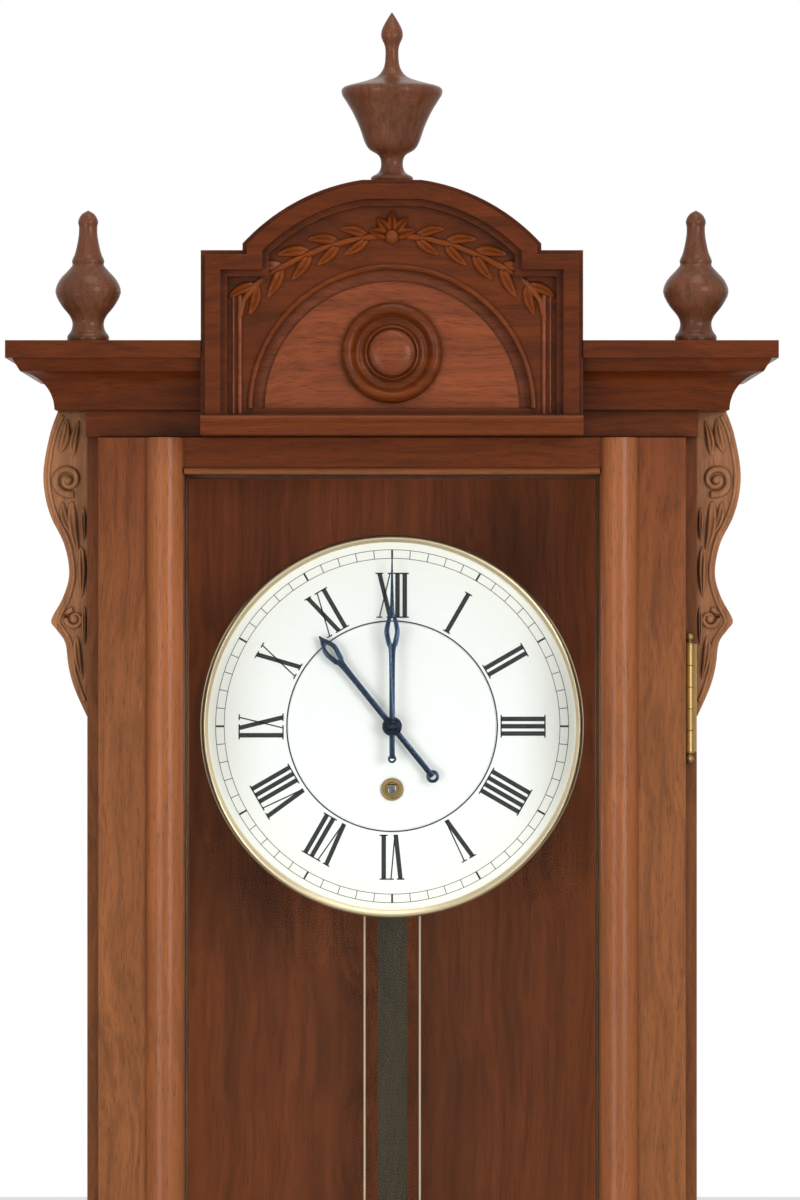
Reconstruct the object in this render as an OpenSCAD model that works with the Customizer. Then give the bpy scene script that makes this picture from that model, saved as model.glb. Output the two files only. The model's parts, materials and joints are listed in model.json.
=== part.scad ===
// Vienna regulator wall clock, one weight, about eight days a winding.
// The origin is the centre of the hanger hole on the wall plane. +X is right, -Y the front, +Z up.

/* [Case] */
// Height of the hanger hole above the top of the cornice
hanger_rise = 20; // [17:1:30]
// Radius of the hanger hole
hanger_r = 5; // [4:0.5:6]
// Width of the hanger plate
hanger_w = 44; // [36:1:54]
// Thickness of the hanger plate
hanger_t = 2; // [1.5:0.1:3]
// Width of the carcass over its sides
case_w = 282; // [270:1:320]
// Depth of the sides from the wall
case_d = 132; // [130:1:150]
// Room between the tip of the pendulum and the bottom board
tip_room = 28.5; // [26:0.5:80]
// Thickness of the sides
side_t = 14; // [12:0.5:18]
// Thickness of the back board
back_t = 10; // [6:0.5:14]
// Thickness of the top and bottom boards
board_t = 12; // [10:0.5:16]
// Width of the side frames' stiles
side_stile_w = 30; // [24:1:36]
// Height of the side frames' rails
side_rail_h = 45; // [35:1:60]
// Thickness of the glass panes
glass_t = 2; // [1.5:0.1:3]
// Lap of a pane behind the frame that holds it
glass_lap = 5; // [3:0.5:7]
// Height of the rails above and below the door
frieze_h = 12; // [10:0.5:16]
// Thickness of the rails above and below the door
frieze_t = 16; // [14:0.5:18]

/* [Cornice and pediment] */
// Height of the cornice
cornice_h = 31; // [28:1:36]
// Reach of the cornice beyond the carcass
cornice_reach = 35; // [30:1:40]
// Height of the flat edge of the cornice
cornice_edge_h = 8; // [6:0.5:10]
// Width of the pediment
pediment_w = 174; // [160:1:190]
// Height of the pediment's shoulders above the cornice
shoulder_h = 41; // [38:0.5:44]
// Width of each shoulder
shoulder_w = 19; // [16:0.5:22]
// Height of the arch above the shoulders
arch_rise = 33; // [28:0.5:36]
// Height cut off the top of the arch as a seat for the finial
crown_cut = 1; // [0.8:0.1:2]
// Thickness of the pediment board
pediment_t = 22; // [20:0.5:26]
// Thickness of the spandrel plate in front of the board
spandrel_t = 8; // [6:0.5:10]
// Width of the raised rim
rim_w = 12; // [9:0.5:14]
// Height of the raised rim
rim_t = 8; // [6:0.5:10]
// Radius of the round-headed panel
lunette_r = 64; // [58:1:68]
// Radius of the turned roundel
roundel_r = 23; // [20:0.5:24]
// Height of the roundel's centre above the panel's base
roundel_z = 25.5; // [25:0.5:30]
// Thickness of the carved ear brackets
ear_t = 18; // [12:1:22]
// Height of the carved ear brackets
ear_h = 141; // [130:1:150]

/* [Base] */
// Height of the base moulding
base_h = 31; // [28:1:36]
// Height of the console under the base
console_h = 84; // [70:1:100]
// Width of the console at its top
console_w = 174; // [150:1:200]
// Depth of the console from the wall
console_d = 96; // [80:1:120]

/* [Finials and pendants] */
// Height of the centre finial
finial_h = 78; // [70:1:90]
// Largest radius of the centre finial
finial_r = 23; // [18:0.5:25]
// Height of the side finials
side_finial_h = 60; // [50:1:70]
// Largest radius of the side finials
side_finial_r = 15; // [12:0.5:17]
// Distance of the side finials and pendants from the middle
side_finial_x = 139; // [130:1:150]
// Height of the hanging pendants
pendant_h = 46; // [36:1:56]

/* [Door] */
// Width of the door
door_w = 270; // [262:1:276]
// Thickness of the door frame
door_t = 20; // [18:0.5:24]
// Width of the door's stiles
stile_w = 39.5; // [36:0.5:44]
// Height of the door's top rail
door_top_h = 17; // [15:0.5:24]
// Height of the door's bottom rail
door_bottom_h = 30; // [26:1:40]
// Radius of the half-round beads along the stiles
bead_r = 9; // [7:0.5:10]
// Gap round the door
door_gap = 0.5; // [0.3:0.1:1]
// Length of each hinge
hinge_h = 50; // [40:1:60]
// Distance of each hinge from the end of the door
hinge_inset = 120; // [90:1:160]
// Radius of the hinge pins
hinge_pin_r = 0.9; // [0.7:0.1:1.1]
// Length of the key
key_len = 48; // [44:1:60]
// Travel of the lock's bolt
bolt_travel = 5; // [4:0.5:5.5]

/* [Dial and hands] */
// Radius of the enamel dial
dial_r = 86.3; // [84:0.1:90]
// Thickness of the enamel dial
dial_t = 1.8; // [1.6:0.1:3]
// Radius of the sunk centre of the dial
dial_centre_r = 48.3; // [42:0.1:54]
// Depth of the sunk centre of the dial
dial_sink = 0.6; // [0.3:0.1:0.9]
// Width of the bezel's face round the dial
bezel_w = 3; // [2:0.1:4]
// Length of the minute hand
minute_len = 78; // [70:1:82]
// Length of the hour hand
hour_len = 54; // [46:1:58]
// Length of the hour hand's counterpoise
hour_tail = 33; // [28:1:36]
// Angle of the hour hand to the left of twelve
hour_angle = 39; // [30:1:60]
// Half width of the hands' pierced bellies
belly_r = 3.6; // [3:0.1:4.5]

/* [Movement] */
// Distance of the movement's back plate from the wall
movement_y = 60; // [58:1:66]
// Distance of the hand arbor below the cornice top
arbor_drop = 177; // [170:1:182]
// Thickness of the movement's plates
plate_t = 2.5; // [2:0.1:3]
// Space between the plates
plate_gap = 36; // [36:0.5:40]
// Width of the plates
plate_w = 84; // [80:1:96]
// Thickness of the sides of the bracket that holds the movement
bracket_t = 5; // [4:0.5:7]
// Height of the plates
plate_h = 126; // [124:1:136]
// Radius of the plate pillars
pillar_r = 4; // [3:0.5:5]
// Space between the front plate and the dial
dial_gap = 9; // [9:0.5:12]
// Radius of the winding drum at the middle of the line
drum_r = 13; // [11:0.5:14]
// Length of the winding drum
drum_len = 20; // [16:0.5:20]
// Across flats of the winding square
square_w = 4; // [3:0.1:4.5]
// Radius of the plate bearings for the wheel pivots
pivot_r = 0.6; // [0.5:0.05:0.8]
// Running clearance of pivots and pipes
fit = 0.05; // [0.03:0.01:0.08]

/* [Weight] */
// Radius of the driving weight
weight_r = 22; // [18:0.5:22]
// Height of the driving weight
weight_h = 110; // [90:1:120]
// Distance of the pulley below the winding arbor as the clock is shown
weight_drop = 233.6; // [220:0.1:260]
// Radius of the weight line
line_r = 0.5; // [0.4:0.05:0.7]

/* [Pendulum] */
// Distance of the pendulum's plane from the wall
pendulum_y = 40; // [38:0.5:42]
// Distance from the suspension to the middle of the bob
pendulum_len = 565; // [540:1:575]
// Width of the pendulum rod
rod_w = 14; // [10:0.5:15]
// Thickness of the pendulum rod
rod_t = 7; // [5:0.5:8]
// Radius of the bob
bob_r = 65; // [56:1:68]
// Thickness of the bob
bob_t = 30; // [24:1:32]
// Width of the beat plate
beat_w = 64; // [50:1:80]

/* [Hidden] */
$fn = 64;

walnut = "#6e3a22";
light_walnut = "#9a6440";
dark_walnut = "#4a2818";
brass = "#c8a24e";
steel = "#3c4454";
enamel = "#f8f8f4";
pane = [0.8, 0.88, 0.9, 0.35];

// Levels of the case
cornice_z = -hanger_rise;
case_top = cornice_z - cornice_h;
door_top = case_top - frieze_h - door_gap;
half_w = case_w / 2;
inner_w = half_w - side_t;
frieze_y = -case_d - frieze_t;
door_back = -case_d - door_gap;
door_front = door_back - door_t;
door_pane_y = door_back - 8.5;
side_pane_x = half_w - 6;
pane_gap = 0.3;
hanger_foot = case_top - 40;
finial_y = frieze_y - cornice_reach / 2;
hanger_head_r = 16;
ear_setback = 6;

// Pediment: a board, the pierced spandrel plate on it, and the rim and foot moulding on that
pediment_foot = case_top - frieze_h;
board_face = frieze_y - pediment_t;
spandrel_face = board_face - spandrel_t;
arch_step = 3;
arch_half = pediment_w / 2 - shoulder_w;
arch_r = (arch_half ^ 2 + (arch_rise - arch_step) ^ 2) / (2 * (arch_rise - arch_step));
arch_top = cornice_z + shoulder_h + arch_rise;
crown_z = arch_top - crown_cut;
lunette_z = case_top;
panel_gap = 0.3;
panel_t = 2.5;
panel_field_t = 2;
panel_margin = 6;

// Toothed wheels: teeth, module, and the places of the arbors in X and Z
tooth_width = 0.42;
leaf_width = 0.38;
great_teeth = 160;
train_leaves = 8;
great_module = 0.35;
centre_teeth = 80;
centre_module = 0.5;
third_teeth = 64;
third_module = 0.45;
escape_teeth = 30;
escape_r = 14;
cannon_leaves = 12;
minute_teeth = 36;
minute_leaves = 10;
hour_teeth = 40;
hour_module = 0.44;
motion_distance = hour_module * (hour_teeth + minute_leaves) / 2;
minute_module = 2 * motion_distance / (cannon_leaves + minute_teeth);
third_distance = centre_module * (centre_teeth + train_leaves) / 2;
escape_distance = third_module * (third_teeth + train_leaves) / 2;
escape_rise = 32;
pallet_rise = escape_rise + escape_r * sqrt(2);
centre_at = [0, cornice_z - arbor_drop];
winding_at = centre_at - [0, great_module * (great_teeth + train_leaves) / 2];
escape_at = centre_at + [0, escape_rise];
third_up = (third_distance ^ 2 - escape_distance ^ 2 + escape_rise ^ 2) / (2 * escape_rise);
third_at = centre_at + [sqrt(third_distance ^ 2 - third_up ^ 2), third_up];
pallet_at = centre_at + [0, pallet_rise];
minute_at = centre_at - [motion_distance, 0];
third_angle = atan2(third_at.y - centre_at.y, third_at.x - centre_at.x);
escape_angle = atan2(escape_at.y - third_at.y, escape_at.x - third_at.x);

// Distances forward of the back plate's inner face
centre_wheel_d = 2.5;
third_wheel_d = 11.5;
anchor_d = 20;
anchor_t = 4;
escape_wheel_d = 21.5;
wheel_t = 1.6;
drum_d = 7;
ratchet_d = drum_d + drum_len + 0.5;
ratchet_t = 1.5;
ratchet_r = 9;
great_wheel_d = ratchet_d + ratchet_t + 0.2;
great_wheel_t = 2.5;
line_d = drum_d + drum_len / 2;
plate_front_d = plate_gap + plate_t;
dial_d = plate_front_d + dial_gap;
dial_front_d = dial_d + dial_t;
minute_wheel_d = plate_front_d + 1;
hour_wheel_d = plate_front_d + 5;
hour_hand_d = dial_front_d + 3.5;
minute_hand_d = hour_hand_d + 4;
square_end_d = dial_front_d + 2.5;
arbor_r = 1.2;
winding_arbor_r = 3;
centre_arbor_r = 1;
cannon_r = 1.8;
hour_pipe_r = 2.9;
hand_t = 1;
minute_tail = 17;
plate_low = centre_at.y - 62;
plate_corner = 6;
pillar_zs = [plate_low + 2 * plate_corner, plate_low + plate_h - 2 * plate_corner];
dial_foot_zs = [centre_at.y - 45, centre_at.y + 45];
dial_back_y = -(movement_y + plate_t + dial_d);
click_at = winding_at + [15, 9];
click_angle = atan2(click_at.y - winding_at.y, click_at.x - winding_at.x);

// Weight, pendulum and lock
pulley_r = drum_r;
pulley_at = winding_at - [0, weight_drop];
pulley_t = 5;
stirrup_t = 1.5;
hook_at = [drum_r, plate_low + 9];
line_y = -(movement_y + plate_t + line_d);
weight_top = pulley_at.y - pulley_r - 12;
suspension_top = pallet_at.y + 3;
rod_top = pallet_at.y - 12;
bob_z = pallet_at.y - pendulum_len;
nut_top = bob_z - bob_r - 0.3;
nut_h = 7;
nut_r = 8;
screw_r = 1.5;
screw_below = 12;
rod_foot = bob_z - bob_r + 14;
bob_edge = 3;
crutch_z = pallet_at.y - 62;
crutch_pin_r = 1.2;
bracket_x = plate_w / 2 - 10;
bracket_low = plate_low + 20;
bracket_top = suspension_top + 4;
cock_t = 12;
cock_h = 8;

// Levels under the pendulum, and the hinges and the lock of the door
case_bottom = nut_top - nut_h - screw_below - tip_room - board_t;
door_bottom = case_bottom + frieze_h + door_gap;
console_top = case_bottom - base_h;
knuckle_h = hinge_h / 5;
knuckle_r = 2.2;
hinge_x = door_w / 2 + knuckle_r + 0.3;
hinge_y = door_back - knuckle_r;
hinge_leaf_t = 1;
hinge_leaf_w = 9;
hinge_zs = [door_top - hinge_inset, door_bottom + hinge_inset];
lock_z = (door_top + door_bottom) / 2;
lock_h = 52;
lock_d = 13;
lock_left = -inner_w + 0.8;
lock_right = -door_w / 2 + stile_w - 4;
key_at = [lock_left + 8, lock_z];
key_r = 2;
bolt_h = 10;
bolt_t = 4;
bolt_y = door_back + 6;
bolt_tip = lock_left + 0.5;

// Points of an arc, and of a smooth curve through hand-chosen points
function arc(centre, r, from, to, n = 12) =
    [for (i = [0:n]) centre + r * [cos(from + (to - from) * i / n), sin(from + (to - from) * i / n)]];
function blend(a, b, c, d, t) =
    0.5 * (2 * b + (c - a) * t + (2 * a - 5 * b + 4 * c - d) * t ^ 2 + (3 * b - a - 3 * c + d) * t ^ 3);
function curve(p, n = 4) = let (last = len(p) - 1) concat(
    [for (i = [0:last - 1], s = [0:n - 1])
        blend(p[max(i - 1, 0)], p[i], p[i + 1], p[min(i + 2, last)], s / n)],
    [p[last]]);
function scaled(p, by) = [for (q = p) [q.x * by.x, q.y * by.y]];

// One toothed outline: share is the tooth's part of the pitch, tip its width at the end
function toothed(n, m, add, ded, share, tip, phase) = [for (i = [0:n - 1])
    let (mid = 360 * i / n + phase, half = 180 / n * share)
    for (p = [[-ded, -1], [0, -1], [add, -tip], [add, tip], [0, 1], [-ded, 1]])
        (m * n / 2 + p.x * m) * [cos(mid + half * p.y), sin(mid + half * p.y)]];
function wheel_teeth(n, m, phase) = toothed(n, m, 0.95, 1.25, tooth_width, 0.45, phase);
function pinion_leaves(n, m, facing) = toothed(n, m, 0.65, 1.35, leaf_width, 0.55, facing + 180 + 180 / n);

// Stands an outline drawn in X and Z between two depths
module slab(back, front) {
    translate([0, back, 0]) rotate([90, 0, 0]) linear_extrude(back - front) children();
}
// The same, with depths given as distances forward of the back plate's inner face
module layer(from, to) {
    slab(-(movement_y + plate_t + from), -(movement_y + plate_t + to)) children();
}
module at(place) translate([place.x, 0, place.y]) children();
module block(low, high) translate(low) cube(high - low);
module mirrored_x() {
    children();
    mirror([1, 0, 0]) children();
}
module wheel(n, m, phase, hub_r, arms) {
    rim_r = m * n / 2 - 1.25 * m - 1.8;
    difference() {
        polygon(wheel_teeth(n, m, phase));
        circle(r = rim_r);
    }
    circle(r = hub_r);
    for (i = [0:arms - 1]) rotate(360 * i / arms + 45) translate([0, -0.9]) square([rim_r + 0.3, 1.8]);
}
module arbor(r, from, to) layer(from, to) circle(r = r);
module train_arbor() {
    arbor(arbor_r, 0.3, plate_gap - 0.3);
    arbor(pivot_r, -plate_t, plate_front_d);
}

// Case
module back_board() {
    color(walnut) difference() {
        block([-inner_w, -back_t, case_bottom], [inner_w, 0, case_top]);
        hanger_recess();
    }
}
module hanger_outline() {
    translate([-hanger_w / 2, hanger_foot]) square([hanger_w, -hanger_foot - 4]);
    circle(r = hanger_head_r);
}
module hanger_plate() {
    color(brass) slab(0, -hanger_t) difference() {
        hanger_outline();
        circle(r = hanger_r);
        translate([-hanger_r / 2, 0]) square([hanger_r, hanger_r + 4]);
    }
}
module hanger_recess() {
    block([-hanger_w / 2 - 0.1, -hanger_t, hanger_foot - 0.1], [hanger_w / 2 + 0.1, 1, 1]);
}
module side_frame(strike) {
    open_back = -side_stile_w;
    open_front = -case_d + side_stile_w;
    open_low = case_bottom + side_rail_h;
    open_high = case_top - side_rail_h;
    difference() {
        block([inner_w, -case_d, case_bottom], [half_w, 0, case_top]);
        block([inner_w - 1, open_front, open_low], [half_w + 1, open_back, open_high]);
        block([inner_w - 1, open_front - glass_lap, open_low - glass_lap],
            [side_pane_x, open_back + glass_lap, open_high + glass_lap]);
        if (strike) block([inner_w - 1, bolt_y - 0.5, lock_z - bolt_h / 2 - 0.5],
            [inner_w + bolt_travel, bolt_y + bolt_t + 0.5, lock_z + bolt_h / 2 + 0.5]);
        else for (z = hinge_zs) block([half_w - hinge_leaf_w - 3.6, -case_d - 1, z - hinge_h / 2 - 0.1],
            [half_w + 1, -case_d + hinge_leaf_t, z + hinge_h / 2 + 0.1]);
    }
}
module left_side_frame() color(walnut) mirror([1, 0, 0]) side_frame(true);
module right_side_frame() color(walnut) side_frame(false);
module side_glass() {
    back = -side_stile_w + glass_lap - pane_gap;
    front = -case_d - back;
    low = case_bottom + side_rail_h - glass_lap + pane_gap;
    high = case_top + case_bottom - low;
    color(pane) mirrored_x() block([side_pane_x - glass_t, front, low], [side_pane_x, back, high]);
}
module top_board() {
    color(walnut) difference() {
        block([-half_w, frieze_y, case_top], [half_w, 0, case_top + board_t]);
        hanger_recess();
    }
}
module bottom_board() {
    color(walnut) block([-inner_w, -case_d, case_bottom], [inner_w, -back_t, case_bottom + board_t]);
}
module frieze_rail() {
    color(walnut) block([-half_w, frieze_y, case_top - frieze_h], [half_w, -case_d, case_top]);
}
// Section of the cornice: u reaches out from the carcass, v is the height from the cornice top
function cornice_section() = concat(
    [[0, 0], [0, -cornice_h], [cornice_reach / 3, -cornice_h]],
    arc([cornice_reach - 4, -cornice_h], cornice_reach * 2 / 3 - 6, 180, 98),
    [[cornice_reach - 3, -cornice_edge_h], [cornice_reach, -cornice_edge_h], [cornice_reach, 0]]);
// Runs a section along X at the front and along Y at the side, mitred at the corner
module mitred_run(section, top, start) {
    reach = max([for (p = section) p.x]);
    low = top + min([for (p = section) p.y]) - 1;
    corner = [half_w, frieze_y];
    intersection() {
        translate([start, frieze_y, top]) rotate([90, 0, 90]) linear_extrude(half_w + reach - start)
            polygon([for (p = section) [-p.x, p.y]]);
        translate([0, 0, low]) linear_extrude(top - low + 1)
            polygon([[start, corner.y], corner, corner + [reach, -reach], [start, corner.y - reach]]);
    }
    intersection() {
        translate([half_w, 0, top]) rotate([90, 0, 0]) linear_extrude(reach - frieze_y) polygon(section);
        translate([0, 0, low]) linear_extrude(top - low + 1)
            polygon([[corner.x, 0], corner, corner + [reach, -reach], [corner.x + reach, 0]]);
    }
}
module cornice_right() color(dark_walnut) mitred_run(cornice_section(), cornice_z, pediment_w / 2);
module cornice_left() {
    color(dark_walnut) mirror([1, 0, 0]) mitred_run(cornice_section(), cornice_z, pediment_w / 2);
}

// Pediment
module pediment_outline(inset) {
    half = pediment_w / 2;
    translate([-half + inset, pediment_foot])
        square([2 * (half - inset), cornice_z + shoulder_h - inset - pediment_foot]);
    intersection() {
        translate([0, arch_top - arch_r]) circle(r = arch_r - inset, $fn = 128);
        translate([inset - arch_half, pediment_foot])
            square([2 * (arch_half - inset), crown_z - inset - pediment_foot]);
    }
}
module lunette(r) {
    intersection() {
        translate([0, lunette_z]) circle(r = r, $fn = 128);
        translate([-r, lunette_z]) square([2 * r, r]);
    }
}
// Section of the foot moulding: u reaches forward from the spandrel, v is the height above its foot
foot_h = frieze_h - 3;
function foot_section() = let (reach = rim_t + 3)
    concat([[0, 0], [reach, 0], [reach, 3]], arc([reach - 1, foot_h - 2], 2, -60, 90, 6), [[0, foot_h]]);
module pediment_board() color(walnut) slab(frieze_y, board_face) pediment_outline(0);
module pediment_spandrel() {
    color(dark_walnut) {
        slab(board_face, spandrel_face) difference() {
            pediment_outline(0);
            lunette(lunette_r);
        }
        translate([-pediment_w / 2, spandrel_face, pediment_foot]) rotate([90, 0, 90])
            linear_extrude(pediment_w) polygon([for (p = foot_section()) [-p.x, p.y]]);
    }
}
// The rim's face steps back on both edges
module pediment_rim() {
    color(dark_walnut) for (step = [0, 1]) {
        back = spandrel_face - step * rim_t / 2;
        slab(back, back - rim_t / 2) difference() {
            pediment_outline(step * 2);
            pediment_outline(rim_w - step * 3);
            translate([-pediment_w, pediment_foot - 1]) square([2 * pediment_w, foot_h + 1]);
        }
    }
}
module pediment_panel() {
    color(light_walnut) {
        slab(board_face, board_face - panel_t) lunette(lunette_r - panel_gap);
        slab(board_face - panel_t, board_face - panel_t - panel_field_t) lunette(lunette_r - panel_margin);
    }
}
// A dished disc with a bead round its edge and a boss in its middle
module roundel() {
    bead = 3;
    floor_t = 1.2;
    boss_r = roundel_r / 2;
    boss_t = 6;
    color(walnut) translate([0, board_face - panel_t - panel_field_t, lunette_z + roundel_z])
        rotate([90, 0, 0]) rotate_extrude() polygon(concat(
            [[0, 0], [roundel_r, 0], [roundel_r, bead / 2]],
            arc([roundel_r - bead, bead / 2], bead, 0, 180, 8),
            [[roundel_r - 2 * bead, floor_t], [boss_r + 0.5, floor_t]],
            scaled(arc([0, 0], 1, 12, 90, 10), [boss_r, boss_t])));
}

// Turned finials and pendants: radius and height of the points that the profile runs through
center_profile = [[9.5, 0], [9.5, 2.4], [6.2, 4.5], [5, 8], [6, 12.2], [10.3, 15], [12.6, 18.6],
    [15, 25.5], [18.2, 32.4], [21.2, 37.4], [23, 40.6], [22, 43.6], [13.5, 46], [7, 48.4], [3.8, 52.5],
    [3, 58], [3.3, 62.5], [4.9, 66.5], [4.6, 70], [2.6, 74], [0, 78]];
side_profile = [[9.5, 0], [9.5, 2.5], [7.8, 5], [7.2, 8.5], [8.6, 12], [12.2, 16.5], [15, 22.5], [13.2, 28],
    [9.2, 32.5], [7.2, 35], [7.4, 37], [5.8, 41], [4.4, 48], [4.2, 52.5], [4.6, 55], [3, 58.2], [0, 60]];
pendant_profile = [[11, 0], [11, 3], [8, 5], [6.5, 8], [9, 12], [14.5, 18], [15.5, 24], [12, 32], [6, 37],
    [4.5, 39], [5.5, 42], [0, 46]];
module turned(profile, h, r) {
    tall = profile[len(profile) - 1].y;
    wide = max([for (p = profile) p.x]);
    rotate_extrude() polygon(concat([[0, 0]], [for (q = curve(scaled(profile, [r / wide, h / tall]), 3))
        [max(q.x, 0), min(max(q.y, 0), h)]]));
}
module center_finial() {
    color(walnut) translate([0, (frieze_y + spandrel_face) / 2, crown_z])
        turned(center_profile, finial_h, finial_r);
}
module side_finials() {
    color(walnut) mirrored_x() translate([side_finial_x, finial_y, cornice_z])
        turned(side_profile, side_finial_h, side_finial_r);
}
// Outline of an ear: reach from the carcass and depth below the cornice
ear_points = [[14, 0], [17.5, 10], [20.5, 26], [20, 38], [17, 49], [11.5, 60], [9, 70], [9, 78], [12, 87],
    [17, 96.5], [14.5, 101], [10.5, 107], [9, 118], [6.3, 128], [0.5, 141]];
module ear_brackets() {
    front = -case_d + ear_setback;
    points = curve(scaled(ear_points, [1, ear_h / 141]));
    color(light_walnut) mirrored_x() slab(front + ear_t, front) polygon(concat([[half_w, case_top]],
        [for (p = points) [half_w + max(p.x, 0), case_top - p.y]], [[half_w, case_top - ear_h]]));
}

// Base
function base_section() = concat(
    [[0, 0], [0, -base_h], [12, -base_h], [12, -base_h + 4]],
    arc([12, -10], base_h - 14, 270, 360, 8),
    [[base_h, -10], [base_h, -3], [base_h - 3, 0]]);
module base_moulding() {
    color(dark_walnut) {
        mitred_run(base_section(), case_bottom, 0);
        mirror([1, 0, 0]) mitred_run(base_section(), case_bottom, 0);
        block([-half_w, frieze_y, case_bottom - base_h], [half_w, 0, case_bottom]);
        block([-half_w, frieze_y, case_bottom], [half_w, -case_d, case_bottom + frieze_h]);
    }
}
// Outline of the console: share of the height from the top, and share of the half width
console_points = [[0, 1], [0.06, 0.96], [0.16, 0.8], [0.34, 0.7], [0.52, 0.62], [0.66, 0.42], [0.8, 0.24],
    [0.92, 0.16], [1, 0.14]];
// Depth of the console where its half width is that share
function console_depth(share) = (0.25 + 0.75 * share) * console_d;
module base_console() {
    points = curve(console_points);
    last = len(points) - 1;
    color(walnut) intersection() {
        slab(0, -console_d) polygon(concat(
            [for (p = points) [p.y * console_w / 2, console_top - p.x * console_h]],
            [for (i = [last:-1:0]) [-points[i].y * console_w / 2, console_top - points[i].x * console_h]]));
        translate([-console_w / 2 - 1, 0, 0]) rotate([90, 0, 90]) linear_extrude(console_w + 2)
            polygon(concat([[0, console_top - console_h], [0, console_top]],
                [for (p = points) [-console_depth(p.y), console_top - p.x * console_h]]));
    }
}
module pendants() {
    tip = console_points[len(console_points) - 1].y;
    color(walnut) {
        translate([0, -console_depth(tip) / 2, console_top - console_h]) mirror([0, 0, 1])
            turned(pendant_profile, pendant_h, 14);
        mirrored_x() translate([half_w - side_t, frieze_y + 4.5, console_top]) mirror([0, 0, 1])
            turned(side_profile, side_finial_h, side_finial_r);
    }
}

// Door: hinged on the right, with its lock on the left
module door_stile() {
    difference() {
        block([door_w / 2 - stile_w, door_front, door_bottom], [door_w / 2, door_back, door_top]);
        block([door_w / 2 - stile_w - 1, door_pane_y, door_bottom + door_bottom_h - glass_lap],
            [door_w / 2 - stile_w + glass_lap, door_back + 1, door_top - door_top_h + glass_lap]);
    }
}
module door_left_stile() {
    color(light_walnut) difference() {
        mirror([1, 0, 0]) door_stile();
        at(key_at) slab(door_back + 1, door_front - 1) circle(r = key_r + 1);
    }
}
module door_right_stile() {
    color(light_walnut) difference() {
        door_stile();
        for (z = hinge_zs) block([door_w / 2 - hinge_leaf_t, hinge_y - 13.1, z - hinge_h / 2 - 0.1],
            [door_w / 2 + 1, door_back + 1, z + hinge_h / 2 + 0.1]);
    }
}
module door_rail(low, high, lap_low, lap_high) {
    half = door_w / 2 - stile_w;
    color(light_walnut) difference() {
        block([-half, door_front, low], [half, door_back, high]);
        block([-half - 1, door_pane_y, lap_low], [half + 1, door_back + 1, lap_high]);
    }
}
module door_top_rail() {
    low = door_top - door_top_h;
    door_rail(low, door_top, low - 1, low + glass_lap);
}
module door_bottom_rail() {
    high = door_bottom + door_bottom_h;
    door_rail(door_bottom, high, high - glass_lap, high + 1);
}
module door_beads() {
    color(light_walnut) mirrored_x() intersection() {
        translate([door_w / 2 - stile_w + bead_r, door_front + 2.5, door_bottom])
            cylinder(h = door_top - door_bottom, r = bead_r);
        block([0, door_front - 2 * bead_r, door_bottom], [door_w, door_front, door_top]);
    }
}
module door_glass() {
    half = door_w / 2 - stile_w + glass_lap - pane_gap;
    color(pane) block([-half, door_pane_y, door_bottom + door_bottom_h - glass_lap + pane_gap],
        [half, door_pane_y + glass_t, door_top - door_top_h + glass_lap - pane_gap]);
}
// Knuckles of a hinge: five in all, the case holds the first, third and fifth
module knuckles(which) {
    for (i = which) translate([0, 0, (i - 2.5) * knuckle_h + 0.1])
        cylinder(h = knuckle_h - 0.2, r = knuckle_r);
}
module case_hinge_leaves() {
    color(brass) for (z = hinge_zs) translate([hinge_x, hinge_y, z]) {
        knuckles([0, 2, 4]);
        for (i = [0, 2, 4]) translate([-1.2, 0, (i - 2.5) * knuckle_h + 0.1])
            cube([2.4, -case_d - hinge_y + hinge_leaf_t, knuckle_h - 0.2]);
        translate([half_w - hinge_x - hinge_leaf_w - 3.5, -case_d - hinge_y, -hinge_h / 2])
            cube([hinge_leaf_w + 3.5, hinge_leaf_t, hinge_h]);
        translate([0, 0, -hinge_h / 2]) cylinder(h = hinge_h, r = hinge_pin_r);
    }
}
module door_hinge_leaves() {
    leaf_x = door_w / 2 - hinge_x - hinge_leaf_t;
    color(brass) for (z = hinge_zs) translate([hinge_x, hinge_y, z]) difference() {
        union() {
            knuckles([1, 3]);
            translate([leaf_x, -13, -hinge_h / 2]) cube([hinge_leaf_t, 13 + knuckle_r, hinge_h]);
            for (i = [1, 3]) translate([leaf_x, -1.2, (i - 2.5) * knuckle_h + 0.1])
                cube([-leaf_x, 2.4, knuckle_h - 0.2]);
        }
        translate([0, 0, -hinge_h]) cylinder(h = 2 * hinge_h, r = hinge_pin_r + fit);
    }
}
module door_lock_case() {
    color(brass) difference() {
        block([lock_left, door_back, lock_z - lock_h / 2],
            [lock_right, door_back + lock_d, lock_z + lock_h / 2]);
        block([lock_left - 1, bolt_y - 0.1, lock_z - bolt_h / 2 - 0.1],
            [lock_right - 2, bolt_y + bolt_t + 0.1, lock_z + bolt_h / 2 + 0.1]);
        at(key_at) slab(bolt_y, door_back + 1) circle(r = 6.5);
        at(key_at) slab(door_back + 2, door_back - 1) circle(r = key_r + fit);
    }
}
module lock_bolt() {
    color(steel) block([bolt_tip, bolt_y, lock_z - bolt_h / 2],
        [lock_right - 2.3, bolt_y + bolt_t, lock_z + bolt_h / 2]);
}
module door_key() {
    tail = door_back + 5;
    color(brass) at(key_at) {
        slab(tail, tail - key_len + 14) circle(r = key_r);
        slab(tail, door_back + 1.2) translate([-1, -6]) square([2, 6]);
        slab(door_front - 3, door_front - 5.5) circle(r = key_r + 1.4);
        translate([0, tail - key_len + 7, 0]) rotate([0, 90, 0]) linear_extrude(2.5, center = true)
            difference() {
                circle(r = 9);
                circle(r = 5.5);
            }
    }
}

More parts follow.
